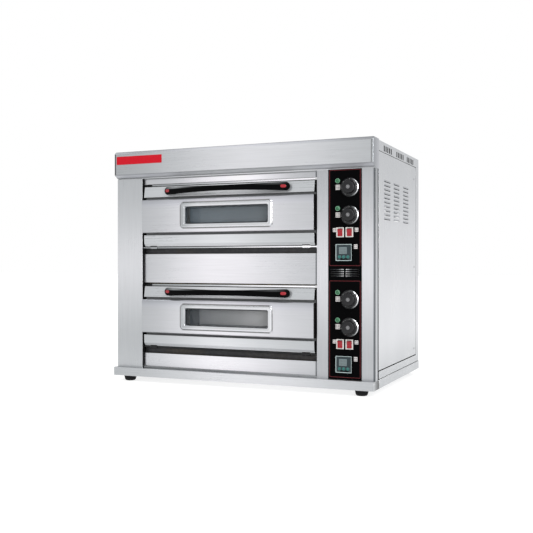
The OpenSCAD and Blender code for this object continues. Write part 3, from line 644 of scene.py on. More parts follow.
MATERIALS = {
    "polished": polished_steel("steel_polished"),
    "rail": polished_steel("steel_rail", band=RAIL_REFLECTION_BAND),
    "frame": polished_steel("steel_window_frame", rough=0.16, band=FRAME_SHADE_BAND),
    "frame_lip_shade": polished_steel("steel_window_lip_shade", (0.26, 0.26, 0.26), 0.2),
    # lower hinge rod and knuckles: near-black steel as painted shade
    "dark_rod": polished_steel("steel_dark_rod", (0.035, 0.035, 0.036), 0.3),
    "grille_lip": glint_lips("grille_lips", GRILLE_GLINT_BAND),
    "screw": polished_steel("steel_screw", (0.40, 0.40, 0.41), 0.2),
    "knob_trim": polished_steel("steel_knob_trim_highlight", rough=0.2, band=TRIM_HIGHLIGHT_BAND),
    # door grooves: flat dark grey as painted shade
    "groove": lacquer("steel_groove_shade", (0.20, 0.205, 0.21), 0.55, 0.0, 0.3),
    "dark": heat_stain_and_shade("steel_dark", (0.045, 0.045, 0.048)),
    "shadow": heat_stain_and_shade("steel_shadow", (0.012, 0.012, 0.013), 0.7),
    "liner": heat_stain_and_shade("steel_liner", (0.16, 0.155, 0.15)),
    "element": heat_stain_and_shade("element_sheath", (0.10, 0.085, 0.08), 0.6),
    "fascia": lacquer("fascia_black", (0.0016, 0.0016, 0.0018), 0.3, 0.0, 0.01),
    "plate": lacquer("nameplate_red", (0.44, 0.003, 0.012), 0.3, 0.1, 0.1),
    "black": moulded("plastic_black", (0.004, 0.004, 0.005), 0.26, coat=0.25, shine=0.2, wear=0.003),
    "knob_face": moulded("knob_grey", (0.09, 0.09, 0.095), 0.3, coat=0.3),
    "pale": moulded("plastic_pale", (0.46, 0.44, 0.42), 0.4, shine=0.3),
    "timer": moulded("plastic_timer", (0.29, 0.35, 0.35), 0.38, shine=0.3),
    "timer_face": moulded("timer_face", (0.020, 0.030, 0.034), 0.35, shine=0.2, wear=0.003),
    "timer_wells": moulded("timer_wells", (0.030, 0.105, 0.098), 0.35, shine=0.3),
    "display": lacquer("display_grey", (0.12, 0.16, 0.165), 0.2, 0.1),
    "teal": moulded("plastic_teal", (0.022, 0.13, 0.115), 0.4, shine=0.3),
    "red": moulded("plastic_red", (0.22, 0.003, 0.009), 0.3, relief=0.03, coat=0.2, shine=0.3),
    "insert": moulded("insert_red", (0.24, 0.004, 0.010), 0.3, relief=0.03, coat=0.3, shine=0.3),
    "lamp_ring": moulded("lamp_ring", (0.11, 0.26, 0.16), 0.3, shine=0.4),
    "green": moulded("lens_green", (0.006, 0.085, 0.030), 0.16, relief=0.02, coat=0.3),
    "rubber": rubber("rubber_black"),
    # glass tints that change across each pane and differ between the decks are painted shade and reflection;
    # so are the border strips' tints, lighter on the upper door
    "outer_glass": oven_glass("glass_outer", 0.12, (0.13, 0.155, 0.175), (0.16, 0.175, 0.185), -0.25, 0.15),
    "upper_glass": oven_glass("glass_upper", 0.92, (0.15, 0.183, 0.21), (0.145, 0.172, 0.195), -0.23, 0.15),
    "lower_glass": oven_glass("glass_lower", 0.92, (0.13, 0.137, 0.145), (0.50, 0.50, 0.50), -0.23, 0.14),
    "upper_border": lacquer("glass_border_upper", (0.080, 0.106, 0.130), 0.2, 0.1),
    "lower_border": lacquer("glass_border_lower", (0.013, 0.015, 0.019), 0.2, 0.1),
    "glass_line": lacquer("glass_line", (0.035, 0.040, 0.047), 0.2, 0.1),
    "hearth": hearth_stone("hearth_stone"),
    "wool": mineral_wool("mineral_wool"),
    "brass": polished_steel("brass_probe", (0.70, 0.50, 0.22), 0.25),
    "white_ink": print_ink("ink_white", (0.50, 0.48, 0.47)),
    "dial_ink": print_ink("ink_dial", (0.20, 0.20, 0.20)),
    "grey_ink": print_ink("ink_grey", (0.06, 0.06, 0.065)),
    "red_ink": print_ink("ink_red", (0.12, 0.006, 0.010)),
}
for deck in DECKS:
    hinge_z = low(f"{deck}_door_shell").z
    handle_shadow = ("Z", hinge_z + 170 * MM, hinge_z + 225 * MM, (1, 0.94, 0.76, 0.70))
    SHEETS[f"{deck}_door"] = ((*ACROSS, DOOR_TONES[deck]), *SIDEWAYS, handle_shadow)
    SHEETS[f"{deck}_strip"] = ((*ACROSS, STRIP_TONES[deck]), *SIDEWAYS, None, 0.30, 0.6)
    MATERIALS[f"{deck}_handle"] = handle_plastic(f"handle_black_{deck}", f"{deck}_handle")
for part, settings in SHEETS.items():
    MATERIALS[part] = brushed_steel(f"steel_{part}", *settings)


# ---------------- cabinet

def middle(face):
    """Middle of a face."""
    return face.calc_center_median()


def is_outer(face):
    """Faces on the outermost left or right planes of the cabinet."""
    return abs(face.normal.x) > 0.5 and abs(middle(face).x) > HALF_WIDTH - 2.6 * MM


def column_part(face):
    """0 for a column's front, 1 for faces in shadow, 2 for its outer return."""
    spot = middle(face)
    if is_outer(face):
        return 2
    return 1 if spot.y > low("left_column").y + 2.5 * MM or face.normal.y > 0.5 else 0


def hood_part(face):
    """0 for the hood's face, 1 for its sides, 2 for its underside, 3 for its top chamfer, 4 for the
    bevels at the ends."""
    normal = face.normal
    if is_outer(face):
        return 1
    if abs(normal.x) > 0.15:
        return 4
    if normal.z < -0.2 and middle(face).z < low("hood").z + 21 * MM:
        return 2
    return 3 if normal.z > 0.3 and middle(face).y < FRONT_Y + 13 * MM else 0


def plinth_part(face):
    """0 for the plinth's front, 1 for its sides, 2 for the shaded corner ahead of the seam."""
    spot = middle(face)
    if abs(face.normal.x) < 0.5:
        return 0
    return 2 if spot.y < FRONT_Y + 80 * MM else 1


def panel_part(face):
    """1 for faces turned away from the outside of a side sheet, which lie in shadow."""
    return 0 if is_outer(face) else 1


def cover_part(face):
    """0 for the top, 1 for the outer sides, 2 for the inside."""
    if is_outer(face) or middle(face).y > high("top_cover").y - 0.5 * MM:
        return 1
    return 0 if middle(face).z > high("top_cover").z - 1 * MM else 2


def sheet_part(face):
    """0 for a recessed panel's face, 1 for its ledge, 2 for faces turned back."""
    spot = middle(face)
    if face.normal.y > 0.3 or spot.y > low("middle_panel").y + 3 * MM:
        return 2
    return 1 if spot.y < low("middle_panel").y - 0.5 * MM and face.normal.y < -0.5 else 0


def make_cabinet():
    """Columns, hood, covers and fixed front panels."""
    hood = ("hood", "hood_side", "hood_under", "hood_chamfer", "hood_bevel")
    sheets = []
    for hand in ("left", "right"):
        column = (f"{hand}_column", "shadow", "column_return")
        sheets.append((f"{hand}_column_sheet", f"{hand}_column", column, 1.4, column_part))
        sheets.append((f"{hand}_side_sheet", f"{hand}_side_panel", ("side", "shadow"), 1.4, panel_part))
    sheets += [("hood_sheet", "hood", hood, 2.0, hood_part),
               ("top_cover_sheet", "top_cover", ("top", "side", "shadow"), 2.0, cover_part),
               ("plinth_sheet", "base_frame", ("plinth", "side", "plinth_corner"), 2.0, plinth_part),
               ("side_frame_sheets", "side_frames", ("side", "shadow", "rear"), 1.4, frame_part),
               ("rear_sheet", "rear_panel", "rear", 1.4, None)]
    for part, face in (("header", "header"), ("middle", "panel"), ("kick", "panel")):
        sheets.append((f"{part}_panel_sheet", f"{part}_panel", (face, "sill", "shadow"), 1.4, sheet_part))
    for name, node, finishes, fold, pick in sheets:
        softened(name, node, ROOT, finishes, fold=fold, pick=pick)
    softened("door_rail_strips", "door_rails", ROOT, "rail", fold=0.8)
    for level in DECKS:
        softened(f"{level}_fascia_plate", f"{level}_fascia", ROOT, "fascia", fold=0.4,
                 burr=0.1)
        # The chamber's front flange takes near-black steel as painted shade.
        softened(f"{level}_chamber_liner", f"{level}_chamber", ROOT, ("liner", "dark"),
                 pick=lambda face: middle(face).y < low("upper_chamber").y + 3 * MM)


def frame_part(face):
    """0 for a side frame's outer face, 1 for its hidden webs, 2 for its back."""
    if is_outer(face):
        return 0
    return 2 if face.normal.y > 0.5 and middle(face).y > high("side_frames").y - 1 * MM else 1


def make_grille():
    """Slotted grille with small lips along the tops of its slots, pale as a painted glint."""
    softened("vent_grille_plate", "vent_grille", ROOT, "fascia")
    corner = low("vent_grille")
    bm = bmesh.new()
    for row in range(4):
        z = corner.z + (15.4 + 9 * row) * MM
        for group in (-57, 7):
            for i in range(8):
                x = centre("vent_grille").x + (group + i * 7.15) * MM
                place = facing((x, corner.y, z))
                rect_loft(bm, [(5.4, 2.2, 0.8, -0.2), (5.4, 2.2, 0.8, 0.5), (4.8, 1.6, 0.6, 1.0)], place)
    make_piece("vent_grille_lips", bm, ROOT, "grille_lip")


def louvre(bm, place, width, drop, reach):
    """Pressed louvre: flush at its top edge, swelling outward to an open lip at its bottom."""
    across, down = 14, 6
    grid = []
    for i in range(across + 1):
        u = i / across
        ends = min(1.0, math.sin(math.pi * u) * 5.0) ** 0.7 if 0 < u < 1 else 0.0
        row = []
        for j in range(down + 1):
            v = j / down
            swell = reach * ends * math.sin(v * math.pi / 2) ** 1.5
            row.append(bm.verts.new(place @ Vector(((u - 0.5) * width, -v * drop, swell + 0.1 * MM))))
        grid.append(row)
    faces = []
    for i in range(across):
        for j in range(down):
            faces.append(bm.faces.new((grid[i][j], grid[i + 1][j], grid[i + 1][j + 1], grid[i][j + 1])))
    return faces


def make_louvres():
    """Rows of pressed louvres over the slots of both side panels."""
    columns, rows, pitch = (0.213, 0.368, 0.537), 10, 17.5 * MM
    first_z = 0.7292
    width, drop, reach = 98 * MM, 7 * MM, 2.6 * MM
    for side, sign in (("right", 1), ("left", -1)):
        bm = bmesh.new()
        faces = []
        surface_x = sign * high("right_side_panel").x
        for start in columns:
            for row in range(rows):
                spot = Vector((surface_x, low("hood").y + start, first_z + row * pitch))
                place = facing(spot, Vector((sign, 0, 0)))
                faces += louvre(bm, place, width, drop, reach)
        bmesh.ops.recalc_face_normals(bm, faces=bm.faces)
        bmesh.ops.solidify(bm, geom=faces, thickness=0.6 * MM)
        make_piece(f"{side}_louvres", bm, ROOT, "louvre", smooth=50)


def cross_ring(depth, arm, half_width, segments):
    """Outline of a cross recess with one point for each angle."""
    def reach(angle):
        folded = abs((angle + math.pi / 4) % (math.pi / 2) - math.pi / 4)
        if folded < math.atan2(half_width, arm):
            return arm / math.cos(folded)
        return half_width / math.sin(folded)

    return polar_ring(reach, depth, segments)


def screw_head(bm, place, radius=4.5, height=2.0):
    """Pan head with a cross recess."""
    n = 32
    dome = [(radius, 0), (radius, height * 0.35), (radius * 0.86, height * 0.78), (radius * 0.62, height)]
    recess = [cross_ring(height, radius * 0.5, radius * 0.16, n),
              cross_ring(height * 0.35, radius * 0.4, radius * 0.1, n)]
    loft(bm, circles(dome, n) + recess, place)


def make_screws():
    """Cover screws on the sides and the back."""
    bm = bmesh.new()
    side_x = high("right_side_panel").x
    side_y = low("screws").y + 4.5 * MM
    side_heights, rear_heights = (0.130, 0.520, 0.938), (0.100, 0.520, 0.960)
    rear_columns = (-0.54, -0.18, 0.18, 0.54)
    for sign in (-1, 1):
        for z in side_heights:
            screw_head(bm, facing((sign * side_x, side_y, z), Vector((sign, 0, 0))))
    for x in rear_columns:
        for z in rear_heights:
            screw_head(bm, facing((x, high("rear_panel").y, z), -FRONT))
    make_piece("cover_screws", bm, ROOT, "screw", ["screws"])


def make_nameplate():
    """Plain red plate with a raised rim and no lettering."""
    w, t, h = size("nameplate") / MM
    steps = [(w, h, 2.5, 0), (w, h, 2.5, t * 0.7), (w - 0.8, h - 0.8, 2.2, t), (w - 4, h - 4, 1.6, t),
             (w - 4.6, h - 4.6, 1.4, t - 0.5)]
    rect_piece("name_plate", steps, seat("nameplate"), ROOT, "plate", ["nameplate"])


def make_feet():
    """Four tapered rubber feet, each moulded with two fine beads."""
    bm = bmesh.new()
    feet_low, feet_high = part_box("feet")
    h = feet_high.z / MM
    inset = 29 * MM
    profile = [(9, 9), (9.3, 0.4), (10, 0), (18, 0), (20.8, 0.9), (22.5, 2.5), (24.2, 5.2), (25.5, 8.4),
               (26.3, 11.4), (26.6, 12.2), (26.5, 13), (27.7, 18.6), (28.0, 19.4), (28.0, 20.2),
               (28.6, h - 2.4), (29, h - 1.4), (28.8, h)]
    for x in (feet_low.x + inset, feet_high.x - inset):
        for y in (feet_low.y + inset, feet_high.y - inset):
            lathe(bm, profile, Matrix.Translation((x, y, 0)))
    make_piece("rubber_feet", bm, ROOT, "rubber", ["feet"])


def hexagons(steps):
    """Hexagonal rings through (width, depth) steps, one point for each angle, so they loft to circles."""
    def reach(angle):
        return 0.5 / math.cos((angle + math.pi / 6) % (math.pi / 3) - math.pi / 6)

    return [polar_ring(lambda angle: across * reach(angle), depth) for across, depth in steps]


def make_gland():
    """Cable gland with a hexagon body and a ribbed dome nut."""
    bm = bmesh.new()
    rear = high("rear_panel").y
    end = (high("cable_gland").y - rear) / MM
    rings = hexagons([(28, 0.1), (29, 0.8), (29, 5.2), (28, 6)]) + circles([(12.6, 6.2), (12.6, 7.0)])
    for step, depth in enumerate((7.2, 8.0, end - 6)):
        rings.append(polar_ring(lambda a: (13.3 + 0.2 * step) * (1 + 0.03 * math.cos(12 * a)), depth))
    rings += circles([(12.6, end - 3.5), (10.6, end - 1), (9.2, end), (8.2, end - 0.3), (8.0, end - 2),
                      (8.0, -19), (11.8, -19), (11.8, 0)])
    loft(bm, rings, seat("cable_gland", rear, -FRONT), cyclic=True)
    nut = hexagons([(28, 0), (29, 0.8), (29, 4.2), (28, 5)]) + circles([(12.1, 5), (12.1, 0)])
    loft(bm, nut, seat("cable_gland", low("rear_panel").y), cyclic=True)
    make_piece("cable_gland_body", bm, ROOT, "black", ["cable_gland"])


def make_hinge_rods():
    """Hinge rods with end bushes, and small bright clips at the ends of the rails."""
    left, right = RECESS
    length = (right - left) / MM
    for level in DECKS:
        axis = joint_place(f"{level}_door_hinge")
        place = facing((left, axis.y, axis.z), Vector((1, 0, 0)))
        bm = bmesh.new()
        lathe(bm, [(8, 0.1), (8, 4.2), (7.4, 4.8), (4.5, 5), (4.5, length - 5), (7.4, length - 4.8),
                   (8, length - 4.2), (8, length - 0.1)], place, segments=32)
        # The lower rod is near-black as painted shade; the upper one takes the rail's painted reflection.
        finish = "rail" if level == "upper" else "dark_rod"
        make_piece(f"{level}_hinge_rod_bar", bm, ROOT, finish, ["hinge_rods"])
    bm = bmesh.new()
    for level in DECKS:
        z = joint_place(f"{level}_door_hinge").z + 282 * MM
        spot = Vector((right - 7 * MM, low("door_rails").y, z))
        rect_loft(bm, [(9, 10, 1.5, 0), (9, 10, 1.5, 1.2), (8, 9, 1.2, 1.6)], facing(spot))
        screw_head(bm, facing(spot + FRONT * 1.6 * MM), 2.6, 1.2)
    make_piece("rail_clips", bm, ROOT, "polished")


make_cabinet()
make_grille()
make_louvres()
make_screws()
make_nameplate()
make_feet()
make_gland()
make_hinge_rods()
for inner_node, finish in (("hearth_plates", "hearth"), ("heating_elements", "element"),
                           ("insulation", "wool"), ("bulkhead", "rear"), ("probes", "brass"),
                           ("thermostats", "pale"), ("contactors", "black"), ("terminal_block", "pale")):
    finish_node(inner_node, finish)


# ---------------- doors

def make_window(level):
    """Polished window frame with an outer lip, a bead and a bevel down to the glass."""
    body = f"{level}_door"
    node = f"{level}_window_frame"
    w, depth, h = size(node) / MM
    back = high(node).y
    skin = depth - 6
    opening = 2 * 25
    steps = [(w - 13, h - 13, 11.5, 0), (w - 13, h - 13, 11.5, skin - 0.2), (w - 0.6, h - 0.6, 17.7, skin),
             (w, h, 18, skin + 0.8), (w - 0.8, h - 0.8, 17.6, skin + 2.2), (w - 3, h - 3, 16.5, skin + 3),
             (w - 8, h - 8, 14.0, skin + 2.2), (w - 10, h - 10, 13.0, skin + 3.6),
             (w - 14, h - 14, 10.5, skin + 5.4), (w - 18, h - 18, 9, skin + 6),
             (w - 32, h - 32, 5.5, skin + 5.7), (w - 40, h - 40, 4.5, skin + 4.2),
             (w - 46, h - 46, 3.6, skin + 0.6), (w - opening, h - opening, 3, skin - 2.4),
             (w - opening, h - opening, 3, 0)]
    bm = bmesh.new()
    rect_loft(bm, steps, seat(node), cyclic=True)
    trim = make_piece(f"{level}_window_trim", bm, body,
                      ["frame", "frame_lip_shade"], [node], smooth=28)
    # Faces at the front of the outer lip take a darker steel: a painted shadow line around the frame.
    for face in trim.data.polygons:
        spot = face.center - Vector((centre(node).x, 0, centre(node).z))
        rim = max(abs(spot.x) - w / 2 * MM, abs(spot.z) - h / 2 * MM)
        face.material_index = 1 if rim > -3.2 * MM and face.center.y < back - skin * MM else 0
    make_panes(level, w, h)


def make_panes(level, w, h):
    """Clear outer pane, and a greyer inner pane with a dark outline and a broad border at its left."""
    node = f"{level}_window_glass"
    body = f"{level}_door"
    outer = seat(node, low(node).y + 4 * MM)
    inner = seat(node)
    strip = inner @ Matrix.Translation((-(w / 2 - 54) * MM, 0, 0))
    rect_piece(f"{level}_outer_pane", [(w - 26, h - 26, 7, 0), (w - 24, h - 24, 8, 1),
               (w - 24, h - 24, 8, 3), (w - 26, h - 26, 7, 4)], outer, body,
               "outer_glass", [node])
    rect_piece(f"{level}_inner_pane", [(w - 60, h - 31, 9, 0), (w - 60, h - 31, 9, 3),
               (w - 61, h - 32, 8, 3.6)], inner, body, f"{level}_glass")
    rect_piece(f"{level}_pane_border", [(46, h - 52, 2, 3.4), (46, h - 52, 2, 3.9), (45, h - 53, 1.5, 4)],
               strip, body, f"{level}_border")
    rect_piece(f"{level}_pane_line", [(w - 59, h - 49, 4, 3.4), (w - 59, h - 49, 4, 4),
               (w - 63, h - 53, 3, 4), (w - 63, h - 53, 3, 3.4)], inner, body,
               "glass_line", cyclic=True)


def handle_point(t, length, radius):
    """Position and outward direction on the handle's bow, t from -1 to 1 across its length."""
    angle = math.asin(t * length / 2 / radius)
    spot = Vector((radius * math.sin(angle), radius - radius * math.cos(angle), 0))
    outward = Vector((math.sin(angle), -math.cos(angle), 0))
    return spot, outward


def make_handle(level):
    """Bowed black handle, tall and round at its ends and waisted in the middle, with red inserts."""
    body = f"{level}_door"
    node = f"{level}_handle"
    longer = 7 * MM
    middle_x = centre(node).x + longer / 2
    length = size(node).x + longer
    bow = 48 * MM
    half = length / 2
    radius = (half * half + bow * bow) / (2 * bow)
    thickness = 13 * MM
    origin = Vector((middle_x, low(node).y, centre(node).z))
    rings = []
    stations = 64
    cap_length = 17 * MM
    for i in range(stations + 1):
        t = -math.cos(math.pi * i / stations)
        t = 0.35 * t + 0.65 * (2 * i / stations - 1) if abs(t) < 0.9 else t
        t = max(-0.9995, min(0.9995, t))
        spot, outward = handle_point(t, length, radius)
        from_end = half * (1 - abs(t))
        waist = 11.5 * MM + 7 * MM * abs(t) ** 1.7
        round_end = math.sqrt(max(0.0004, 1 - (1 - min(1, from_end / cap_length)) ** 2))
        tall = waist * round_end
        thick = thickness / 2 * (0.55 + 0.45 * round_end)
        ring = []
        for k in range(28):
            a = 2 * math.pi * k / 28
            c, s = math.cos(a), math.sin(a)
            power = 2 / 2.7
            across = thick * math.copysign(abs(c) ** power, c)
            rise = tall * math.copysign(abs(s) ** power, s)
            ring.append(origin + spot - outward * (thickness / 2) + outward * across + UP * rise)
        rings.append(ring)
    bm = bmesh.new()
    loft(bm, rings)
    post_y = high(node).y
    for sign in (-1, 1):
        spot, outward = handle_point(sign * (half - 26 * MM) / half, length, radius)
        start = origin + spot - outward * (thickness * 0.7)
        reach = (post_y - start.y) / MM
        place = facing(start, -FRONT)
        lathe(bm, [(9, 0), (8.2, reach * 0.3), (8.4, reach * 0.6), (11, reach - 3), (11, reach - 0.2)],
              place, segments=32)
    make_piece(f"{level}_handle_bar", bm, body, node, [node], smooth=60)
    bm = bmesh.new()
    for sign, w, inset in ((-1, 24, 20), (1, 25, 27)):
        spot, outward = handle_point(sign * (half - inset * MM) / half, length, radius)
        place = facing(origin + spot - outward * 0.9 * MM, outward)
        rect_loft(bm, [(w, 13, 6.4, -1), (w, 13, 6.4, 0.7), (w - 1.2, 11.8, 5.8, 1.3),
                       (w - 6, 7.5, 3.6, 1.7)], place)
    make_piece(f"{level}_handle_inserts", bm, body, "insert", smooth=50)


def door_part(face):
    """0 for the raised panel, 1 for the strips, 2 for ends and hidden faces, 3 for the grooves."""
    depth = middle(face).y - low("upper_door_shell").y
    if face.normal.y < -0.5 and 33 * MM < depth < 39 * MM:
        return 3
    if abs(face.normal.x) > 0.7 or face.normal.y > 0.3 or depth > 30 * MM:
        return 2
    if depth < 6 * MM:
        return 0
    if abs(face.normal.z) > 0.9 and depth > 6 * MM:
        return 3
    return 1 if depth > 12 * MM else 0


def make_door(level):
    """Door skin, inner panel, window and handle."""
    body = f"{level}_door"
    skin = (f"{level}_door", f"{level}_strip", "shadow", "groove")
    softened(f"{level}_door_skin", f"{level}_door_shell", body, skin, fold=1.8, burr=0.3,
             pick=door_part)
    axis = joint_place(f"{level}_door_hinge")
    # Knuckles take the rail's painted reflection on the upper door and painted shade on the lower one.
    softened(f"{level}_door_lining", f"{level}_door_liner", body,
             ["liner", "rail" if level == "upper" else "dark_rod"],
             pick=lambda face: middle(face).z < axis.z + 8.5 * MM)
    make_window(level)
    make_handle(level)


for deck in DECKS:
    make_door(deck)


# ---------------- controls

def digits(text, height, place):
    """Mesh of generic dial numerals, flat on a surface."""
    curve = bpy.data.curves.new("numeral", "FONT")
    curve.body = text
    curve.size = height * MM
    curve.align_x = "CENTER"
    curve.align_y = "CENTER"
    curve.extrude = 0.08 * MM
    holder = bpy.data.objects.new("numeral", curve)
    mesh = bpy.data.meshes.new_from_object(holder)
    mesh.transform(place)
    bpy.data.objects.remove(holder)
    bpy.data.curves.remove(curve)
    return mesh


def on_dial(place, degrees, reach, depth, slope):
    """Place on a dial at an angle from its top, leaning with its slope."""
    turned = place @ Matrix.Rotation(math.radians(degrees), 4, "Z")
    return turned @ Matrix.Translation((0, reach * MM, depth * MM)) @ Matrix.Rotation(-slope, 4, "X")


def make_knob(node):
    """Thermostat dial: printed skirt with a thin rim, a ribbed grip and a small grey centre disc."""
    skirt_back = joint_place(f"{node}_turn").y
    place = seat(node, skirt_back)
    radius = size(node).x / 2 / MM
    spindle = (high(node).y - skirt_back) / MM
    bm = bmesh.new()
    lathe(bm, [(3, -spindle), (3, 0), (radius - 1, 0), (radius, 0.8), (radius, 2.2), (radius - 1.2, 3.4),
               (radius - 7, 7.6), (radius - 8, 8.4), (29.5, 8.8), (28.4, 9.4), (27.2, 11, 1.1, 30),
               (26.4, 22, 1.2, 30), (25.2, 25, 0.8, 30), (23, 26.6), (21, 27), (8.2, 27), (7.8, 26.2)],
          place, segments=180)
    make_piece(f"{node}_dial", bm, node, "black", [node], smooth=35)
    # The trim ring's tone band, dark at the left and bright at the right, is a painted highlight.
    bm = bmesh.new()
    lathe(bm, [(radius - 1.6, 3.2), (radius - 1.4, 3.9), (radius - 4.2, 5.9), (radius - 4.6, 5.2)], place,
          segments=96, cyclic=True)
    make_piece(f"{node}_trim", bm, node, "knob_trim")
    bm = bmesh.new()
    lathe(bm, [(8.0, 26.0), (8.0, 27.0), (7.4, 27.5), (3, 27.7)], place, segments=64)
    make_piece(f"{node}_cap", bm, node, "knob_face")
    marks = bmesh.new()
    turn = math.radians(40)
    rect_loft(marks, [(2.0, 12, 0.9, 27.4), (2.0, 12, 0.9, 27.95)], place @ Matrix.Rotation(turn, 4, "Z"))
    slope = math.atan2(4.6, 6.5)
    for i in range(31):
        mark = 1.6 if i % 5 else 2.4
        rect_loft(marks, [(0.7, mark, 0.2, -0.4), (0.7, mark, 0.2, 0.12)],
                  on_dial(place, 150 - i * 10, radius - 5.9, 7.2, slope))
    for i in range(7):
        mesh = digits(str(50 * i), 4.2, on_dial(place, 150 - i * 50, 33, 8.05, 0.1))
        marks.from_mesh(mesh)
        bpy.data.meshes.remove(mesh)
    make_piece(f"{node}_marks", marks, node, "dial_ink")


def make_lamps():
    """Green signal lamps: a pale green ring around a darker ribbed lens."""
    lens, rim = bmesh.new(), bmesh.new()
    front = low("vent_grille").y
    x = centre("pilot_lamps").x
    step = joint_place("upper_top_knob_turn").z - joint_place("upper_bottom_knob_turn").z
    top_lamp = high("pilot_lamps").z - 10 * MM
    bottom_lamp = low("pilot_lamps").z + 10 * MM
    for z in (top_lamp, top_lamp - step, bottom_lamp + step, bottom_lamp):
        place = facing((x, front, z))
        lathe(rim, [(6.6, -24), (6.6, 0), (10, 0), (10, 1.2), (9.6, 1.9), (8.8, 2.2), (8.0, 2.0), (7.8, 1.2),
                    (6.0, 1.0), (6.0, -24)], place, segments=40, cyclic=True)
        lathe(lens, [(7.8, 0.4), (7.8, 1.9), (7.1, 3.1, 0.15, 16), (5.6, 3.8, 0.2, 16), (3.2, 4.0, 0.1, 16),
                     (1.0, 4.0)], place, segments=64)
    make_piece("lamp_bezels", rim, ROOT, "lamp_ring", ["pilot_lamps"])
    make_piece("lamp_lenses", lens, ROOT, "green")


def make_switches():
    """Pale rocker bezels with red rockers."""
    softened("switch_bezels", "switch_housings", ROOT, "pale", fold=0.7, burr=0.3)
    for level in DECKS:
        for use in ("light", "power"):
            node = f"{level}_{use}_rocker"
            softened(f"{node}_key", node, node, "red", fold=0.8, burr=0.2)
            pivot = joint_place(f"{node}_tip")
            tilt = Matrix.Translation(pivot) @ Matrix.Rotation(math.radians(7), 4, "X")
            marks = bmesh.new()
            for sign, ring in ((1, False), (-1, True)):
                normal = Vector((0, -1, 0.2 * sign)).normalized()
                spot = Vector((0, -10.45 * MM, sign * 8 * MM))
                place = tilt @ facing(spot, normal)
                if ring:
                    lathe(marks, [(2.4, -0.3), (2.4, 0.12), (1.7, 0.12), (1.7, -0.3)], place, 32, cyclic=True)
                else:
                    rect_loft(marks, [(0.9, 5, 0.3, -0.3), (0.9, 5, 0.3, 0.12)], place)
            make_piece(f"{node}_marks", marks, node, "insert")


def make_timer(level):
    """Square timer: pale bezel, dark face with a slot, grey display with segments and teal buttons."""
    node = "timer_housings"
    half = size(node).x / 2
    z = high(node).z - half if level == "upper" else low(node).z + half
    face_y = low("hood").y + 26 * MM
    place = facing((centre(node).x, face_y, z))
    bm = bmesh.new()
    side = 2 * half / MM
    rect_loft(bm, [(67, 67, 2, -62), (67, 67, 2, 0), (side, side, 4, 0), (side, side, 4, 2.6),
                   (side - 3, side - 3, 3.6, 2.8), (side - 4, side - 4, 3.2, 4),
                   (side - 8, side - 8, 2.4, 3.7), (side - 9.4, side - 9.4, 2, 1.6), (63, 63, 2, -58)],
              place, cyclic=True)
    case = make_piece(f"{level}_timer_case", bm, ROOT,
                      ["timer", "fascia"], [node])
    for face in case.data.polygons:
        reach = max(abs(face.center.x - centre(node).x), abs(face.center.z - z))
        face.material_index = 1 if reach > half - 1.8 * MM else 0
    rect_piece(f"{level}_timer_face", [(62.4, 62.4, 2, 0.2), (62.4, 62.4, 2, 1.7), (61.6, 61.6, 1.8, 2.1)],
               place, ROOT, "timer_face")
    rect_piece(f"{level}_timer_slot", [(36, 5.5, 1, 2.0), (36, 5.5, 1, 2.3), (35.4, 4.9, 0.8, 2.5)],
               place @ Matrix.Translation((3 * MM, -27 * MM, 0)), ROOT, "fascia")
    screen = place @ Matrix.Translation((-2.9 * MM, 8.2 * MM, 0))
    rect_piece(f"{level}_timer_screen", [(33, 28, 1.5, 1.8), (33, 28, 1.5, 2.7), (32, 27, 1.2, 2.9),
               (31, 26, 1, 2.5)], screen, ROOT, "display", ["timer_displays"])
    marks = bmesh.new()
    digit_w, digit_h, stroke = 4.6, 8.4, 0.7
    for rise in (5.6, -6.2):
        for column in range(4):
            cx = (column - 1.5) * 6.6 + (1.0 if column > 1 else -1.0) * 0.6
            bars = [(0, dz, digit_w, stroke) for dz in (0.5, 0, -0.5)]
            bars += [(dx, dz, stroke, digit_h / 2) for dz in (0.25, -0.25) for dx in (-0.5, 0.5)]
            for dx, dz, w, h in bars:
                seg = screen @ Matrix.Translation(((cx + dx * digit_w) * MM, (rise + dz * digit_h) * MM, 0))
                rect_loft(marks, [(w, h, 0.2, 2.4), (w, h, 0.2, 2.6)], seg)
    make_piece(f"{level}_timer_segments", marks, ROOT, "grey_ink")
    wells = bmesh.new()
    for i in range(3):
        button = f"{level}_timer_button_{i + 1}"
        lathe(wells, [(7.2, 2.0), (7.2, 2.9), (6.6, 3.3), (5.4, 3.2), (4.8, 2.4), (4.6, 1.8)],
              seat(button, face_y), 40, cyclic=True)
        radius = size(button).x / 2 / MM
        length = size(button).y / MM
        bm = bmesh.new()
        lathe(bm, [(radius, 0), (radius, length - 1.4), (radius - 0.4, length - 0.6),
                   (radius - 1.2, length - 0.1), (radius - 2.6, length - 0.3)], seat(button), 40)
        make_piece(f"{button}_cap", bm, button, "teal", [button])
    make_piece(f"{level}_timer_wells", wells, ROOT, "timer_wells")


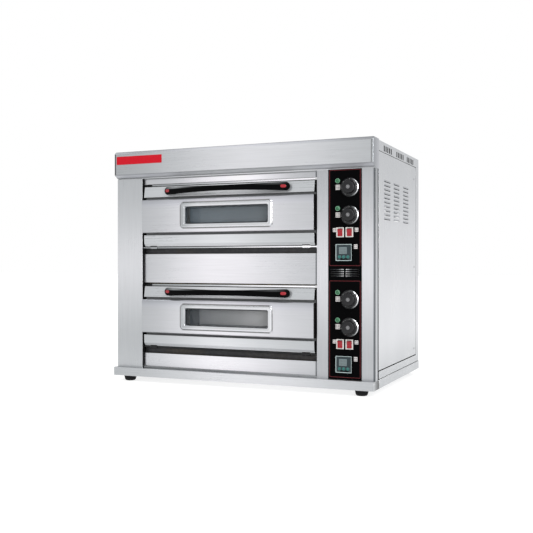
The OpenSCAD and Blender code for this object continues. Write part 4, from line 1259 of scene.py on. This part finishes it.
def outline_strip(bm, x0, x1, z0, z1, y, width):
    """Thin printed rectangle outline on the fascia."""
    place = facing(((x0 + x1) / 2, y, (z0 + z1) / 2))
    w, h = (x1 - x0) / MM, (z1 - z0) / MM
    rect_loft(bm, [(w, h, 3, 0), (w, h, 3, 0.15), (w - 2 * width, h - 2 * width, 2.4, 0.15),
                   (w - 2 * width, h - 2 * width, 2.4, 0)], place, cyclic=True)


def label(bm, marks, x, z, w, h, lines):
    """Pale label plate with plain printed bars."""
    y = low("upper_fascia").y
    place = facing((x, y, z))
    rect_loft(bm, [(w, h, 1, 0), (w, h, 1, 0.35), (w - 0.6, h - 0.6, 0.8, 0.5)], place)
    for i in range(lines):
        rise = (lines - 1) / 2 - i
        for dx, part in ((-0.24, 0.34), (0.24, 0.34)):
            bar = place @ Matrix.Translation((dx * w * MM, rise * h / (lines + 0.6) * MM, 0))
            rect_loft(marks, [(part * w, h / (lines + 0.6) * 0.38, 0.2, 0.4),
                              (part * w, h / (lines + 0.6) * 0.38, 0.2, 0.6)], bar)


def make_prints():
    """Red outlines and pale labels on the fascias."""
    y = low("upper_fascia").y
    lines = bmesh.new()
    left, right = low("upper_fascia").x + 6 * MM, high("upper_fascia").x - 5 * MM
    outline_strip(lines, left, right, low("upper_fascia").z + 4 * MM, high("upper_fascia").z - 3 * MM, y, 1.6)
    outline_strip(lines, left, right, low("lower_fascia").z + 9 * MM, high("lower_fascia").z - 4 * MM, y, 1.6)
    make_piece("fascia_outlines", lines, ROOT, "red_ink")
    plates, marks = bmesh.new(), bmesh.new()
    for level in DECKS:
        dial = joint_place(f"{level}_top_knob_turn")
        step = dial.z - joint_place(f"{level}_bottom_knob_turn").z
        for drop in (0, step):
            label(plates, marks, dial.x - 51 * MM, dial.z - drop + 1 * MM, 19, 21, 3)
        for across in (-65, 28.5):
            label(plates, marks, dial.x + across * MM, dial.z - 173.5 * MM, 15, 16, 2)
        label(plates, marks, dial.x + 25 * MM, dial.z - 242 * MM, 15, 18, 2)
    make_piece("label_plates", plates, ROOT, "white_ink")
    make_piece("label_marks", marks, ROOT, "grey_ink")


for deck in DECKS:
    for level_knob in ("top", "bottom"):
        make_knob(f"{deck}_{level_knob}_knob")
    make_timer(deck)
make_lamps()
make_switches()
make_prints()
